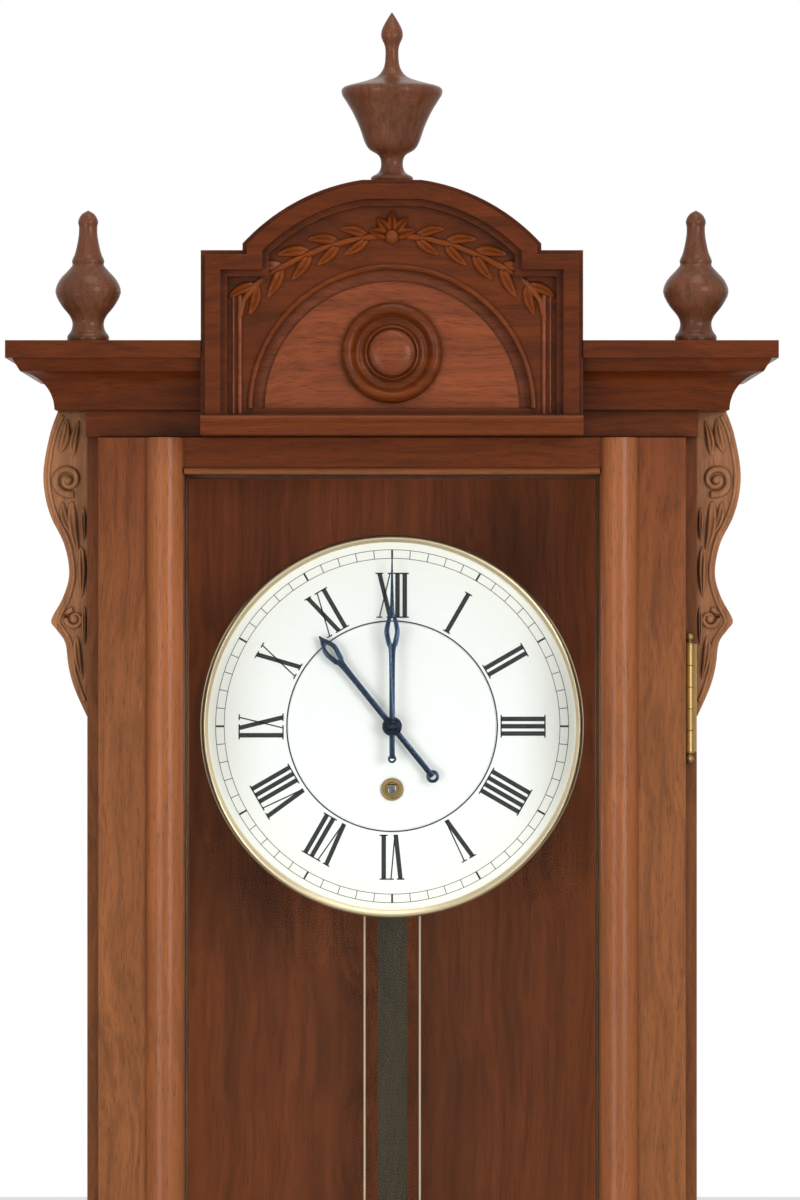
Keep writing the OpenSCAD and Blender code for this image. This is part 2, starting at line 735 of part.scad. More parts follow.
// Movement
module plate_outline() {
    half = plate_w / 2;
    translate([plate_corner - half, plate_low]) square([plate_w - 2 * plate_corner, plate_h]);
    translate([-half, plate_low + plate_corner]) square([plate_w, plate_h - 2 * plate_corner]);
    for (x = [-1, 1], z = [plate_low + plate_corner, plate_low + plate_h - plate_corner])
        translate([x * (half - plate_corner), z]) circle(r = plate_corner);
}
module hole(place, r) translate(place) circle(r = r + fit);
module back_plate() {
    color(brass) layer(-plate_t, 0) difference() {
        plate_outline();
        hole(centre_at, pivot_r);
        hole(winding_at, 1.5);
        hole(third_at, pivot_r);
        hole(escape_at, pivot_r);
        translate(pallet_at) circle(r = arbor_r + 1.5);
    }
}
module front_plate() {
    color(brass) layer(plate_gap, plate_front_d) difference() {
        plate_outline();
        hole(centre_at, centre_arbor_r);
        hole(winding_at, winding_arbor_r);
        hole(third_at, pivot_r);
        hole(escape_at, pivot_r);
        hole(pallet_at, pivot_r);
    }
}
module plate_pillars() {
    color(brass) {
        for (x = [-1, 1], z = pillar_zs) at([x * (plate_w / 2 - 2 * plate_corner + 5), z]) {
            arbor(pillar_r, 0, plate_gap);
            arbor(pillar_r + 1, plate_gap / 2 - 2, plate_gap / 2 + 2);
        }
        for (x = [-30, 30], z = dial_foot_zs) at([x, z]) arbor(1.6, plate_front_d, dial_d);
        at(hook_at) arbor(1.6, 0, line_d + 2.5);
        at(minute_at) arbor(0.8, plate_front_d, hour_wheel_d + 3);
    }
}
module movement_bracket() {
    web_t = 4;
    back = -back_t - web_t;
    window = bracket_x - 14;
    color("dimgray") {
        difference() {
            block([-bracket_x, back, bracket_low], [bracket_x, -back_t, bracket_top]);
            block([-window, back - 1, bracket_low + 16], [window, -back_t + 1, bracket_top - 22]);
        }
        mirrored_x() block([bracket_x - bracket_t, -movement_y, bracket_low], [bracket_x, back, bracket_top]);
    }
}
module suspension_cock() {
    y = -pendulum_y;
    spring_w = 8;
    top = bracket_top + cock_h;
    color(brass) difference() {
        union() {
            block([-bracket_x, y - cock_t / 2, bracket_top], [bracket_x, y + cock_t / 2, top]);
            block([-6, y - cock_t / 2, suspension_top], [6, y + cock_t / 2, bracket_top]);
            block([-5, -movement_y + 5, pallet_at.y - 4], [5, -movement_y + 8, top]);
            block([-5, -movement_y + 8, bracket_top], [5, y - cock_t / 2, top]);
        }
        at(pallet_at) slab(-movement_y + 9, -movement_y + 4) circle(r = pivot_r + fit);
        block([-0.25, y - spring_w / 2 - 0.1, suspension_top - 1],
            [0.25, y + spring_w / 2 + 0.1, suspension_top + 6]);
    }
}
module suspension_spring() {
    color(steel) block([-0.15, -pendulum_y - 4, rod_top - 3], [0.15, -pendulum_y + 4, suspension_top + 5]);
}
module dial() {
    color(enamel) difference() {
        layer(dial_d, dial_front_d) translate(centre_at) circle(r = dial_r, $fn = 180);
        layer(dial_front_d - dial_sink, dial_front_d + 1) translate(centre_at)
            circle(r = dial_centre_r, $fn = 120);
        layer(dial_d - 1, dial_front_d + 1) translate(centre_at) circle(r = hour_pipe_r + 1.2);
        layer(dial_d - 1, dial_front_d + 1) translate(winding_at) circle(r = square_w / sqrt(2) + 1.6);
    }
}
module dial_bezel() {
    color(brass) at(centre_at) translate([0, dial_back_y, 0]) rotate([90, 0, 0]) rotate_extrude($fn = 180)
        polygon(concat([[dial_r, 0]],
            arc([dial_r + bezel_w - 2, dial_t + 0.4], 2, -60, 90, 8),
            [[dial_r - 0.5, dial_t + 1.4], [dial_r - 0.5, dial_t], [dial_r, dial_t]]));
}
module beat_plate() {
    beat_h = 14;
    low = nut_top - nut_h - screw_below - beat_h - 7;
    color(enamel) slab(-back_t, -back_t - 2) difference() {
        translate([-beat_w / 2, low]) square([beat_w, beat_h]);
        for (x = [4 - beat_w / 2, beat_w / 2 - 4]) translate([x, low + beat_h / 2]) circle(r = 1.3);
    }
}

// Train
module center_wheel() {
    color(brass) at(centre_at) {
        layer(centre_wheel_d, centre_wheel_d + wheel_t) wheel(centre_teeth, centre_module, third_angle, 4, 5);
        layer(great_wheel_d - 0.5, great_wheel_d + great_wheel_t + 0.5)
            polygon(pinion_leaves(train_leaves, great_module, 90));
        arbor(pivot_r, -plate_t, 1);
        arbor(centre_arbor_r, 0.3, minute_hand_d + hand_t + 1.5);
    }
}
module third_wheel() {
    color(brass) at(third_at) {
        layer(third_wheel_d, third_wheel_d + wheel_t) wheel(third_teeth, third_module, escape_angle, 3.5, 4);
        layer(centre_wheel_d - 1, centre_wheel_d + wheel_t + 1)
            polygon(pinion_leaves(train_leaves, centre_module, third_angle));
        train_arbor();
    }
}
module escape_outline() {
    for (i = [0:escape_teeth - 1]) rotate(i * 360 / escape_teeth) polygon([[escape_r - 3.4, -0.8],
        [escape_r, 0.45], [escape_r, 0.62], [escape_r - 1.6, 0.75], [escape_r - 3.4, 1.1]]);
    difference() {
        circle(r = escape_r - 3);
        circle(r = escape_r - 4.6);
    }
    circle(r = 2.6);
    for (i = [0:3]) rotate(i * 90) translate([0, -0.7]) square([escape_r - 4.3, 1.4]);
}
module escape_wheel() {
    color(brass) at(escape_at) {
        layer(escape_wheel_d, escape_wheel_d + 1.2) escape_outline();
        layer(third_wheel_d - 1, third_wheel_d + wheel_t + 1)
            polygon(pinion_leaves(train_leaves, third_module, escape_angle));
        train_arbor();
    }
}
module pallet_anchor() {
    color(steel) {
        layer(anchor_d, anchor_d + anchor_t) difference() {
            translate(pallet_at) union() {
                polygon([[-2.8, 2], [-9, -1.5], [-14.5, -7], [-15.6, -12.6], [-9.5, -12.6], [-8, -7.4],
                    [-2.4, -3], [2.4, -3], [8, -7.4], [9.5, -12.6], [15.6, -12.6], [14.5, -7], [9, -1.5],
                    [2.8, 2]]);
                circle(r = 3);
            }
            translate(escape_at) circle(r = escape_r + 1, $fn = 96);
        }
        at(pallet_at) {
            arbor(arbor_r, -5, plate_gap - 0.3);
            arbor(pivot_r, -plate_t - 7.5, plate_front_d);
            arbor(2.2, -plate_t - 2.5, -plate_t - 1);
        }
        layer(-plate_t - 2.3, -plate_t - 1.2) {
            translate([-1.5, crutch_z - 3]) square([3, pallet_at.y - crutch_z + 3]);
            translate([0, crutch_z]) circle(r = 3);
        }
        at([0, crutch_z]) slab(-pendulum_y + rod_t / 2 + 1, -movement_y + 2.2) circle(r = crutch_pin_r);
    }
}
module ratchet_outline(n, r, depth) {
    polygon([for (i = [0:n - 1], p = [[r, 0], [r - depth, 2]])
        p.x * [cos(360 * i / n + p.y), sin(360 * i / n + p.y)]]);
}
module great_wheel() {
    color(brass) {
        at(winding_at) layer(great_wheel_d, great_wheel_d + great_wheel_t) difference() {
            polygon(wheel_teeth(great_teeth, great_module, 90));
            circle(r = winding_arbor_r + fit);
            for (i = [1:5]) rotate(click_angle + i * 60) translate([17.5, 0]) circle(r = 5.5);
        }
        at(click_at) layer(ratchet_d - 0.3, great_wheel_d) circle(r = 1);
    }
}
module ratchet_click() {
    color(steel) layer(ratchet_d, ratchet_d + ratchet_t) difference() {
        translate(click_at) union() {
            circle(r = 2.4);
            polygon([[1.6, 1.8], [-1.8, 1.6], [-10.2, -0.2], [-9.4, -2.8], [-0.6, -2.3]]);
        }
        hole(click_at, 1);
        translate(winding_at) circle(r = ratchet_r + 0.5);
    }
}
module winding_drum() {
    color(brass) at(winding_at) {
        arbor(drum_r - line_r - 0.1, drum_d, drum_d + drum_len);
        arbor(drum_r + 1, drum_d - 1, drum_d);
        arbor(drum_r + 1, drum_d + drum_len - 1, drum_d + drum_len);
        layer(ratchet_d, ratchet_d + ratchet_t) ratchet_outline(24, ratchet_r, 1.4);
        arbor(4.5, drum_d + drum_len, ratchet_d);
        arbor(winding_arbor_r, 0.3, plate_front_d);
        arbor(1.5, -plate_t, 1);
        layer(plate_front_d, square_end_d) square(square_w, center = true);
    }
}

// Motion work and hands
module cannon_pinion() {
    color(brass) at(centre_at) {
        layer(minute_wheel_d - 0.3, minute_wheel_d + wheel_t + 0.3) difference() {
            polygon(pinion_leaves(cannon_leaves, minute_module, 0));
            circle(r = centre_arbor_r + fit);
        }
        layer(plate_front_d + 0.3, minute_hand_d + hand_t) difference() {
            circle(r = cannon_r);
            circle(r = centre_arbor_r + fit);
        }
    }
}
module minute_wheel() {
    color(brass) at(minute_at) difference() {
        union() {
            layer(minute_wheel_d, minute_wheel_d + wheel_t) wheel(minute_teeth, minute_module, 0, 2.5, 4);
            layer(minute_wheel_d + wheel_t, hour_wheel_d + wheel_t + 0.4)
                polygon(pinion_leaves(minute_leaves, hour_module, 180));
        }
        layer(minute_wheel_d - 1, hour_wheel_d + 4) circle(r = 0.8 + fit);
    }
}
module hour_wheel() {
    color(brass) at(centre_at) difference() {
        union() {
            layer(hour_wheel_d, hour_wheel_d + wheel_t) wheel(hour_teeth, hour_module, 180, 4, 4);
            layer(hour_wheel_d, hour_hand_d + hand_t) circle(r = hour_pipe_r);
        }
        layer(hour_wheel_d - 1, hour_hand_d + 3) circle(r = cannon_r + fit);
    }
}
// A hand's belly and the hole in it: distance from the widest place, and share of its half width
belly_points = [[-12.5, 0.4], [-7, 0.72], [-1, 1], [4.5, 0.68], [9, 0.3]];
hole_points = [[-8.8, 0.05], [-6, 0.32], [-1, 0.56], [3.5, 0.3], [6, 0.05]];
// Both sides of a run of points: distance along the hand and half width
function two_sided(run) = concat([for (p = run) [p.y, p.x]],
    [for (i = [len(run) - 1:-1:0]) [-run[i].y, run[i].x]]);
module hand(reach, belly_at, tail, tail_r, boss, bore) {
    shaft = 0.36 * belly_r;
    run = concat([[tail_r - tail, shaft], [0, shaft]],
        [for (p = belly_points) [belly_at + p.x, p.y * belly_r]], [[reach, 0.3]]);
    difference() {
        union() {
            circle(r = boss);
            translate([0, tail_r - tail]) circle(r = tail_r);
            polygon(two_sided(curve(run, 3)));
        }
        circle(r = bore + fit);
        translate([0, tail_r - tail]) circle(r = tail_r / 2);
        polygon(two_sided(curve([for (p = hole_points) [belly_at + p.x, p.y * belly_r]], 3)));
    }
}
module hour_hand() {
    color(steel) layer(hour_hand_d, hour_hand_d + hand_t) translate(centre_at) rotate(hour_angle)
        hand(hour_len, hour_len - 12.5, hour_tail, 3, 5, hour_pipe_r);
}
module minute_hand() {
    color(steel) layer(minute_hand_d, minute_hand_d + hand_t) translate(centre_at)
        hand(minute_len, 0.58 * minute_len, minute_tail, 2, 4, cannon_r);
}

// Pendulum
module pendulum_rod() {
    y = -pendulum_y;
    screw_foot = nut_top - nut_h - screw_below;
    color("#42372a") difference() {
        block([-rod_w / 2, y - rod_t / 2, rod_foot], [rod_w / 2, y + rod_t / 2, rod_top - 8]);
        at([0, crutch_z]) slab(y + rod_t, y - rod_t) circle(r = crutch_pin_r + 0.1);
    }
    color(brass) difference() {
        block([-5, y - rod_t / 2 - 0.8, rod_top - 14], [5, y + rod_t / 2 + 0.8, rod_top]);
        block([-5.1, y - rod_t / 2, rod_top - 15], [5.1, y + rod_t / 2, rod_top - 8]);
        block([-0.25, y - 4.1, rod_top - 4], [0.25, y + 4.1, rod_top + 1]);
    }
    color(brass) translate([0, y, screw_foot]) cylinder(h = rod_foot - screw_foot, r = screw_r);
}
function bob_profile() = let (rise = (bob_t - bob_edge) / 2, lens_r = (bob_r ^ 2 + rise ^ 2) / (2 * rise),
    wide = asin(bob_r / lens_r), mid = lens_r - bob_t / 2)
    concat(arc([0, -mid], lens_r, 90, 90 - wide, 12), arc([0, mid], lens_r, wide - 90, -90, 12));
module pendulum_bob() {
    y = -pendulum_y;
    slot = rod_t / 2 + 0.15;
    color(brass) difference() {
        translate([0, y, bob_z]) rotate([90, 0, 0]) rotate_extrude($fn = 96) polygon(bob_profile());
        block([-rod_w / 2 - 0.15, y - slot, rod_foot - 6], [rod_w / 2 + 0.15, y + slot, bob_z + 2 * bob_r]);
        translate([0, y, bob_z - 2 * bob_r]) cylinder(h = 2 * bob_r, r = screw_r + 0.3);
    }
}
module rating_nut() {
    color(brass) difference() {
        translate([0, -pendulum_y, nut_top - nut_h]) {
            translate([0, 0, 1]) cylinder(h = nut_h - 2, r = nut_r);
            cylinder(h = nut_h, r = nut_r - 1.5);
        }
        translate([0, -pendulum_y, nut_top - 2 * nut_h]) cylinder(h = 3 * nut_h, r = screw_r + fit);
    }
}

// Weight, hung by its line from the drum round a pulley to a hook bar
module weight_line() {
    color("#b8a88a") {
        translate([-drum_r, line_y, pulley_at.y]) cylinder(h = winding_at.y - pulley_at.y, r = line_r);
        translate([drum_r, line_y, pulley_at.y]) cylinder(h = hook_at.y - 1.7 - pulley_at.y, r = line_r);
        translate([0, line_y, pulley_at.y]) rotate([90, 0, 0]) rotate([0, 0, 180]) rotate_extrude(angle = 180)
            translate([drum_r, 0]) circle(r = line_r);
    }
}
pulley_pin_r = 0.9;
module weight_pulley() {
    half = pulley_t / 2;
    flange_r = pulley_r + 1.8;
    groove_r = pulley_r - line_r - 0.1;
    color(brass) translate([0, line_y, pulley_at.y]) rotate([90, 0, 0]) rotate_extrude()
        polygon([[pulley_pin_r + fit, -half], [flange_r, -half], [flange_r, -half + 0.6], [groove_r, -0.9],
            [groove_r, 0.9], [flange_r, half - 0.6], [flange_r, half], [pulley_pin_r + fit, half]]);
}
module driving_weight() {
    cheek = pulley_t / 2 + 0.3;
    color(brass) {
        translate([0, line_y, weight_top - weight_h]) rotate_extrude() polygon(concat(
            [[0, 0], [weight_r - 3, 0]], arc([weight_r - 3, 3], 3, 270, 360, 6),
            arc([weight_r - 3, weight_h - 3], 3, 0, 90, 6), [[0, weight_h]]));
        for (y = [line_y + cheek + stirrup_t, line_y - cheek]) slab(y, y - stirrup_t) {
            translate([-3, weight_top + 6]) square([6, pulley_at.y - weight_top - 6]);
            translate([0, pulley_at.y]) circle(r = 3);
        }
        at(pulley_at) slab(line_y + cheek + 0.5, line_y - cheek - 0.5) circle(r = pulley_pin_r);
        block([-3, line_y - cheek - stirrup_t, weight_top + 4],
            [3, line_y + cheek + stirrup_t, weight_top + 7]);
        translate([0, line_y, weight_top - 0.5]) cylinder(h = 5, r = 2);
    }
}

back_board();
hanger_plate();
left_side_frame();
right_side_frame();
side_glass();
top_board();
bottom_board();
frieze_rail();
cornice_left();
cornice_right();
pediment_board();
pediment_spandrel();
pediment_rim();
pediment_panel();
roundel();
center_finial();
side_finials();
ear_brackets();
base_moulding();
base_console();
pendants();
case_hinge_leaves();
movement_bracket();
back_plate();
front_plate();
plate_pillars();
suspension_cock();
suspension_spring();
dial();
dial_bezel();
beat_plate();
weight_line();
door_left_stile();
door_right_stile();
door_top_rail();
door_bottom_rail();
door_beads();
door_glass();
door_hinge_leaves();
door_lock_case();
lock_bolt();
door_key();
great_wheel();
ratchet_click();
winding_drum();
center_wheel();
cannon_pinion();
minute_hand();
third_wheel();
escape_wheel();
pallet_anchor();
minute_wheel();
hour_wheel();
hour_hand();
pendulum_rod();
pendulum_bob();
rating_nut();
weight_pulley();
driving_weight();
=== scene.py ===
"""Vienna regulator wall clock: finishes, carving, dial marks, hands, line and fittings on the frame."""

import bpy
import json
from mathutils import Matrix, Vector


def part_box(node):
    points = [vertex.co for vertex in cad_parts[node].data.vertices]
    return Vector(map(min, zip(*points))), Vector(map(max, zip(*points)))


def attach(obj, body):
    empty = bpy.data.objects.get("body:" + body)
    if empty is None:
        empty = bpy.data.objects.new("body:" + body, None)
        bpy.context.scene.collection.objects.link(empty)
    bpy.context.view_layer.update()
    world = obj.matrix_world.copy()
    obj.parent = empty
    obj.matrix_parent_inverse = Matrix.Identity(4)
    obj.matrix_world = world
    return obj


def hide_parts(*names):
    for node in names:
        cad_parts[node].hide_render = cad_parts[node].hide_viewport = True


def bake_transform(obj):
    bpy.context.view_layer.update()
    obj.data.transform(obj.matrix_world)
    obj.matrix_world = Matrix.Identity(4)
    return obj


bl_info = {
    "name": "Vienna Regulator",
    "version": (1, 0, 0),
    "blender": (4, 5, 0),
    "location": "View3D > Sidebar > Regulator",
    "description": "Dresses the frame of a weight-driven wall clock",
    "category": "Object",
}

import json
import math

import bmesh
import bpy
from mathutils import Matrix, Vector

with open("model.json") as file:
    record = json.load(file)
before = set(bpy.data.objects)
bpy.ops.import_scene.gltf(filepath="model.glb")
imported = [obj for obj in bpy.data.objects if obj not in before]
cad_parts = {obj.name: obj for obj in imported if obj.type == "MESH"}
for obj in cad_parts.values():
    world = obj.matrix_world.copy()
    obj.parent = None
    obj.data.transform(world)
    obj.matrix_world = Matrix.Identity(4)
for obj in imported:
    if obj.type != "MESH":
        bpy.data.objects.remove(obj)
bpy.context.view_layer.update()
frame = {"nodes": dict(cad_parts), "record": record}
NODES = frame["nodes"]
AXES = {joint["name"]: joint.get("pos_m") for joint in frame["record"]["behaviour"]["joints"]}
MM = 0.001


def axis_of(joint):
    """Where a joint's axis crosses the wall's plane."""
    x, _, z = AXES[joint]
    return Vector((x, 0, z))


# Places on the clock, in metres
CENTRE = axis_of("center_turn")
WINDING = axis_of("winding")
# Height of the pulley's pin
PIN_Z = AXES["pulley_turn"][2]
# Fronts of the dial, the door and the pediment's spandrel
DIAL_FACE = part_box("dial")[0].y
DOOR_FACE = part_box("door_left_stile")[0].y
SPANDREL_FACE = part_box("pediment_board")[0].y - 0.008
# Top of the moulding along the spandrel's foot
FOOT_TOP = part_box("frieze_rail")[1].z - 0.003
# Middle of the pediment's round head
LUNETTE = Vector((0, 0, -0.051))

# The hour hand's angle from the upright, in degrees
HOUR_ANGLE = 39
# The bob's half thickness in the middle and at the edge, and its radius
BOB_HALF, BOB_EDGE, BOB_R = 0.015, 0.0015, 0.065
# Radius of the gut, and of the drum and the pulley to the middle of the line on them
GUT_R, LINE_RUN = 0.0005, 0.0130
# Half width of the glass that the door's beads frame
SIGHT_HALF = 0.0955

# Camera: focal length in mm, and the point of the clock's front that its axis meets
LENS = 195.7
AIM_X, AIM_Y, AIM_Z = 0.00368, -0.15, -0.1382
FLOOR_Z = -1.25
# Lamps: place, aim, width in metres and power in watts
LAMPS = {
    "key": ((1.60, -2.75, 0.08), (0, -0.1, -0.3), 1.3, 40),
    "fill": ((-1.55, -2.80, -0.75), (0, -0.1, -0.3), 1.4, 31),
    "top": ((0.2, -0.9, 1.6), (0, -0.1, -0.1), 1.0, 12),
}

# Tones that change with height: from, to, and the share of the colour that is left above. The stiles' darker
# top is a painted shadow of the cornice, the back board's brighter part above the dial is painted light, and
# the spandrel is darker above its foot moulding.
# Painted shadow: the stiles, side frames and glazing beads darken towards the top, as if in the cornice's
# shadow
UPPER_STILE_PAINTED_SHADOW = (-0.190, -0.070, (0.78, 0.60, 0.52))
# Painted light: the back board brightens above the dial, where the case's top and the door's rail shade it
ABOVE_DIAL_PAINTED_LIGHT = (-0.235, -0.140, (1.75, 1.55, 1.40))
SPANDREL_FIELD = (FOOT_TOP - 0.0006, FOOT_TOP + 0.0006, (0.80, 0.76, 0.72))


# Sizes and colours that a user would change

def length(name, text, default):
    return bpy.props.FloatProperty(name=name, description=text, default=default, unit="LENGTH", precision=4)


def colour(name, text, default):
    return bpy.props.FloatVectorProperty(
        name=name, description=text, default=default, subtype="COLOR", size=3, min=0, max=1)


class RegulatorSizes(bpy.types.PropertyGroup):
    """Sizes of the pieces added to the frame."""

    numeral_h: length("Numeral height", "Height of the Roman numerals", 0.0210)
    numeral_foot: length("Numeral foot", "Distance of the numerals' feet from the dial's centre", 0.0505)
    thick_stroke: length("Thick stroke", "Width of a numeral's thick strokes", 0.0021)
    thin_stroke: length("Thin stroke", "Width of a numeral's thin strokes and serifs", 0.0006)
    track_inner: length("Minute track, inner", "Radius of the inner circle of the minute track", 0.0782)
    track_outer: length("Minute track, outer", "Radius of the outer circle of the minute track", 0.0822)
    chapter_r: length("Chapter circle", "Radius of the circle round the sunk centre", 0.0490)
    camera_distance: length("Camera distance", "Distance of the camera from the clock's front", 3.0)


class RegulatorColours(bpy.types.PropertyGroup):
    """Colours of the finishes."""

    walnut: colour("Walnut", "Case sides, door and boards", (0.240, 0.084, 0.028))
    dark_walnut: colour("Dark walnut", "Cornice, rim and mouldings", (0.106, 0.021, 0.003))
    red_walnut: colour("Red walnut", "Frieze, door's top rail and spandrels", (0.140, 0.030, 0.005))
    light_walnut: colour("Light walnut", "Beads of the door", (0.295, 0.095, 0.031))
    panel: colour("Panel", "Round-headed panel of the pediment", (0.215, 0.054, 0.019))
    ear: colour("Ears", "Carved brackets at the sides", (0.410, 0.178, 0.080))
    turnery: colour("Turnery", "Finials and pendants", (0.150, 0.052, 0.024))
    board: colour("Back board", "Inside of the back of the case", (0.212, 0.053, 0.012))
    brass: colour("Brass", "Movement, bezel, bob and weight", (0.700, 0.460, 0.180))
    tarnish: colour("Tarnish", "Old lacquer in the brass's corners", (0.300, 0.170, 0.060))
    steel: colour("Steel", "Arbors, pinions and anchor", (0.420, 0.420, 0.430))
    blued: colour("Blued steel", "Hands and suspension spring", (0.030, 0.045, 0.075))
    iron: colour("Iron", "Movement bracket and hanger", (0.045, 0.043, 0.040))
    enamel: colour("Enamel", "Middle of the dial", (0.955, 0.965, 0.965))
    cream: colour("Cream", "Margin of the dial", (0.955, 0.945, 0.880))
    ink: colour("Numerals", "Fired black of the numerals and tracks", (0.012, 0.012, 0.014))
    ebony: colour("Ebonised wood", "Pendulum rod", (0.050, 0.036, 0.017))
    gut: colour("Gut line", "Line of the weight", (0.640, 0.540, 0.380))
    floor: colour("Floor", "Plain floor below", (0.800, 0.790, 0.770))


def sizes():
    return bpy.context.scene.regulator_sizes


def colours():
    return bpy.context.scene.regulator_colours


# Node trees

class Finish:
    """One material and short calls to build its nodes."""

    def __init__(self, name, **skin):
        self.material = bpy.data.materials.new(name)
        self.material.use_nodes = True
        self.tree = self.material.node_tree
        self.skin = self.tree.nodes["Principled BSDF"]
        self.set(self.skin, **skin)
        self.place = self.tree.nodes.new("ShaderNodeTexCoord").outputs["Object"]

    def set(self, node, **values):
        for key, value in values.items():
            socket = node.inputs[key.replace("_", " ")]
            if isinstance(value, bpy.types.NodeSocket):
                self.tree.links.new(value, socket)
            else:
                socket.default_value = (*value, 1) if socket.type == "RGBA" and len(value) == 3 else value

    def add(self, kind, settings=None, **values):
        node = self.tree.nodes.new("ShaderNode" + kind)
        for key, value in (settings or {}).items():
            setattr(node, key, value)
        self.set(node, **values)
        return node

    def mapped(self, scale, location=(0, 0, 0), rotation=(0, 0, 0)):
        return self.add("Mapping", Vector=self.place, Scale=scale, Location=location,
                        Rotation=rotation).outputs[0]

    def noise(self, vector, scale, detail=3, roughness=0.55, distortion=0.0):
        return self.add("TexNoise", Vector=vector, Scale=scale, Detail=detail, Roughness=roughness,
                        Distortion=distortion).outputs["Fac"]

    def math(self, operation, first, second=0.0, clamp=False):
        node = self.add("Math", {"operation": operation, "use_clamp": clamp})
        for socket, value in zip(node.inputs, (first, second)):
            if isinstance(value, bpy.types.NodeSocket):
                self.tree.links.new(value, socket)
            else:
                socket.default_value = value
        return node.outputs[0]

    def ramp(self, factor, *stops):
        node = self.add("ValToRGB", Fac=factor)
        points = node.color_ramp.elements
        while len(points) < len(stops):
            points.new(0.5)
        for point, (position, value) in zip(points, stops):
            point.position = position
            point.color = (*value, 1) if not isinstance(value, (int, float)) else (value, value, value, 1)
        return node.outputs["Color"]

    def mix(self, factor, first, second, blend="MIX"):
        node = self.add("Mix", {"data_type": "RGBA", "blend_type": blend, "clamp_factor": True})
        for socket, value in ((node.inputs[0], factor), (node.inputs[6], first), (node.inputs[7], second)):
            if isinstance(value, bpy.types.NodeSocket):
                self.tree.links.new(value, socket)
            else:
                socket.default_value = (*value, 1) if socket.type == "RGBA" else value
        return node.outputs[2]

    def soft_edges(self, radius):
        return self.add("Bevel", {"samples": 4}, Radius=radius).outputs[0]

    def rubbed(self, edges):
        """How far the softened surface turns from the true one: 1 along the corners."""
        true = self.add("NewGeometry").outputs["Normal"]
        node = self.add("VectorMath", {"operation": "DOT_PRODUCT"})
        self.tree.links.new(edges, node.inputs[0])
        self.tree.links.new(true, node.inputs[1])
        return self.ramp(node.outputs["Value"], (0.80, 1.0), (0.995, 0.0))

    def corners(self, distance):
        """How open the surface is, by ambient occlusion: 0 in inside corners. The wood takes it as painted
        shade, the brass as the place of its tarnish.
        """
        return self.add("AmbientOcclusion", {"samples": 6}, Distance=distance).outputs["AO"]


def tinted(base, amount):
    return tuple(min(1.0, c * amount) for c in base)


def wood(name, base, along="Z", shine=0.09, figure=1.0, seed=0.0, above=None):
    """French-polished walnut: figure and pores drawn out along the grain, rubbed edges, painted shade in the
    corners.
    With above, its tone changes between two heights to the given share of its colour."""
    made = Finish(name, Roughness=0.34, Specular_IOR_Level=0.08, Coat_Weight=shine, Coat_Roughness=0.14)
    squeeze = {"X": (0.055, 1, 1), "Y": (1, 0.055, 1), "Z": (1, 1, 0.055)}
    if along == "mitre":
        # The run along the front is cut along X, and the returns along Y
        xyz = made.add("SeparateXYZ", Vector=made.place)
        beyond = made.math("ADD", made.math("ABSOLUTE", xyz.outputs["X"]), xyz.outputs["Y"])
        grain = made.mix(made.math("GREATER_THAN", beyond, 0.009),
                         made.mapped(squeeze["X"], (seed, 0, 0)), made.mapped(squeeze["Y"], (0, seed, 0)))
    else:
        grain = made.mapped(squeeze[along], (seed, seed * 0.7, seed * 1.3))
    sway = made.noise(made.place, 7, 2)
    swayed = made.add("VectorMath", {"operation": "ADD"})
    made.tree.links.new(grain, swayed.inputs[0])
    made.tree.links.new(made.math("MULTIPLY", sway, 0.03), swayed.inputs[1])
    bands = made.noise(swayed.outputs[0], 95, 7, 0.62, 0.5)
    fine = made.noise(grain, 620, 3, 0.6)
    streaks = made.ramp(made.noise(swayed.outputs[0], 340, 3, 0.65), (0.46, 0.0), (0.66, 1.0))
    pores = made.ramp(made.noise(grain, 2500, 2), (0.56, 0.0), (0.66, 1.0))
    cloud = made.noise(made.place, 11, 2)
    body = made.ramp(bands, (0.30, tinted(base, 0.42 if figure > 0.5 else 0.7)), (0.44, tinted(base, 0.78)),
                     (0.56, tinted(base, 1.02)), (0.72, tinted(base, 1.28)))
    body = made.mix(made.math("MULTIPLY", fine, 0.35), body, tinted(base, 0.62))
    body = made.mix(made.math("MULTIPLY", cloud, 0.3), body, tinted(base, 1.35))
    body = made.mix(made.math("MULTIPLY", streaks, 0.5 * figure), body, tinted(base, 0.42))
    body = made.mix(made.math("MULTIPLY", pores, 0.5), body, tinted(base, 0.25))
    edges = made.soft_edges(0.0009)
    worn = made.math("MULTIPLY", made.rubbed(edges), made.noise(made.place, 60, 2), clamp=True)
    body = made.mix(made.math("MULTIPLY", worn, 0.55), body, tinted(base, 1.9))
    # Painted shade: the wood darkens in its inside corners, by ambient occlusion
    corner_tarnish_and_shade = made.ramp(made.corners(0.007), (0.25, 0.45), (0.8, 1.0))
    body = made.mix(1.0, body, corner_tarnish_and_shade, "MULTIPLY")
    if above:
        height = made.add("SeparateXYZ", Vector=made.place).outputs["Z"]
        low, high, tint = above
        share = made.add("MapRange", Value=height, From_Min=low, From_Max=high).outputs[0]
        body = made.mix(share, body, made.mix(1.0, body, tint, "MULTIPLY"))
    rough = made.math("ADD", made.math("MULTIPLY", cloud, 0.16), made.math("MULTIPLY", pores, 0.14))
    relief = made.math("SUBTRACT", made.math("MULTIPLY", bands, 0.25), made.math("MULTIPLY", pores, 0.6))
    bump = made.add("Bump", Strength=0.22, Distance=0.0003, Height=relief, Normal=edges)
    made.set(made.skin, Base_Color=body, Roughness=made.math("ADD", rough, 0.24), Normal=bump.outputs[0])
    return made.material


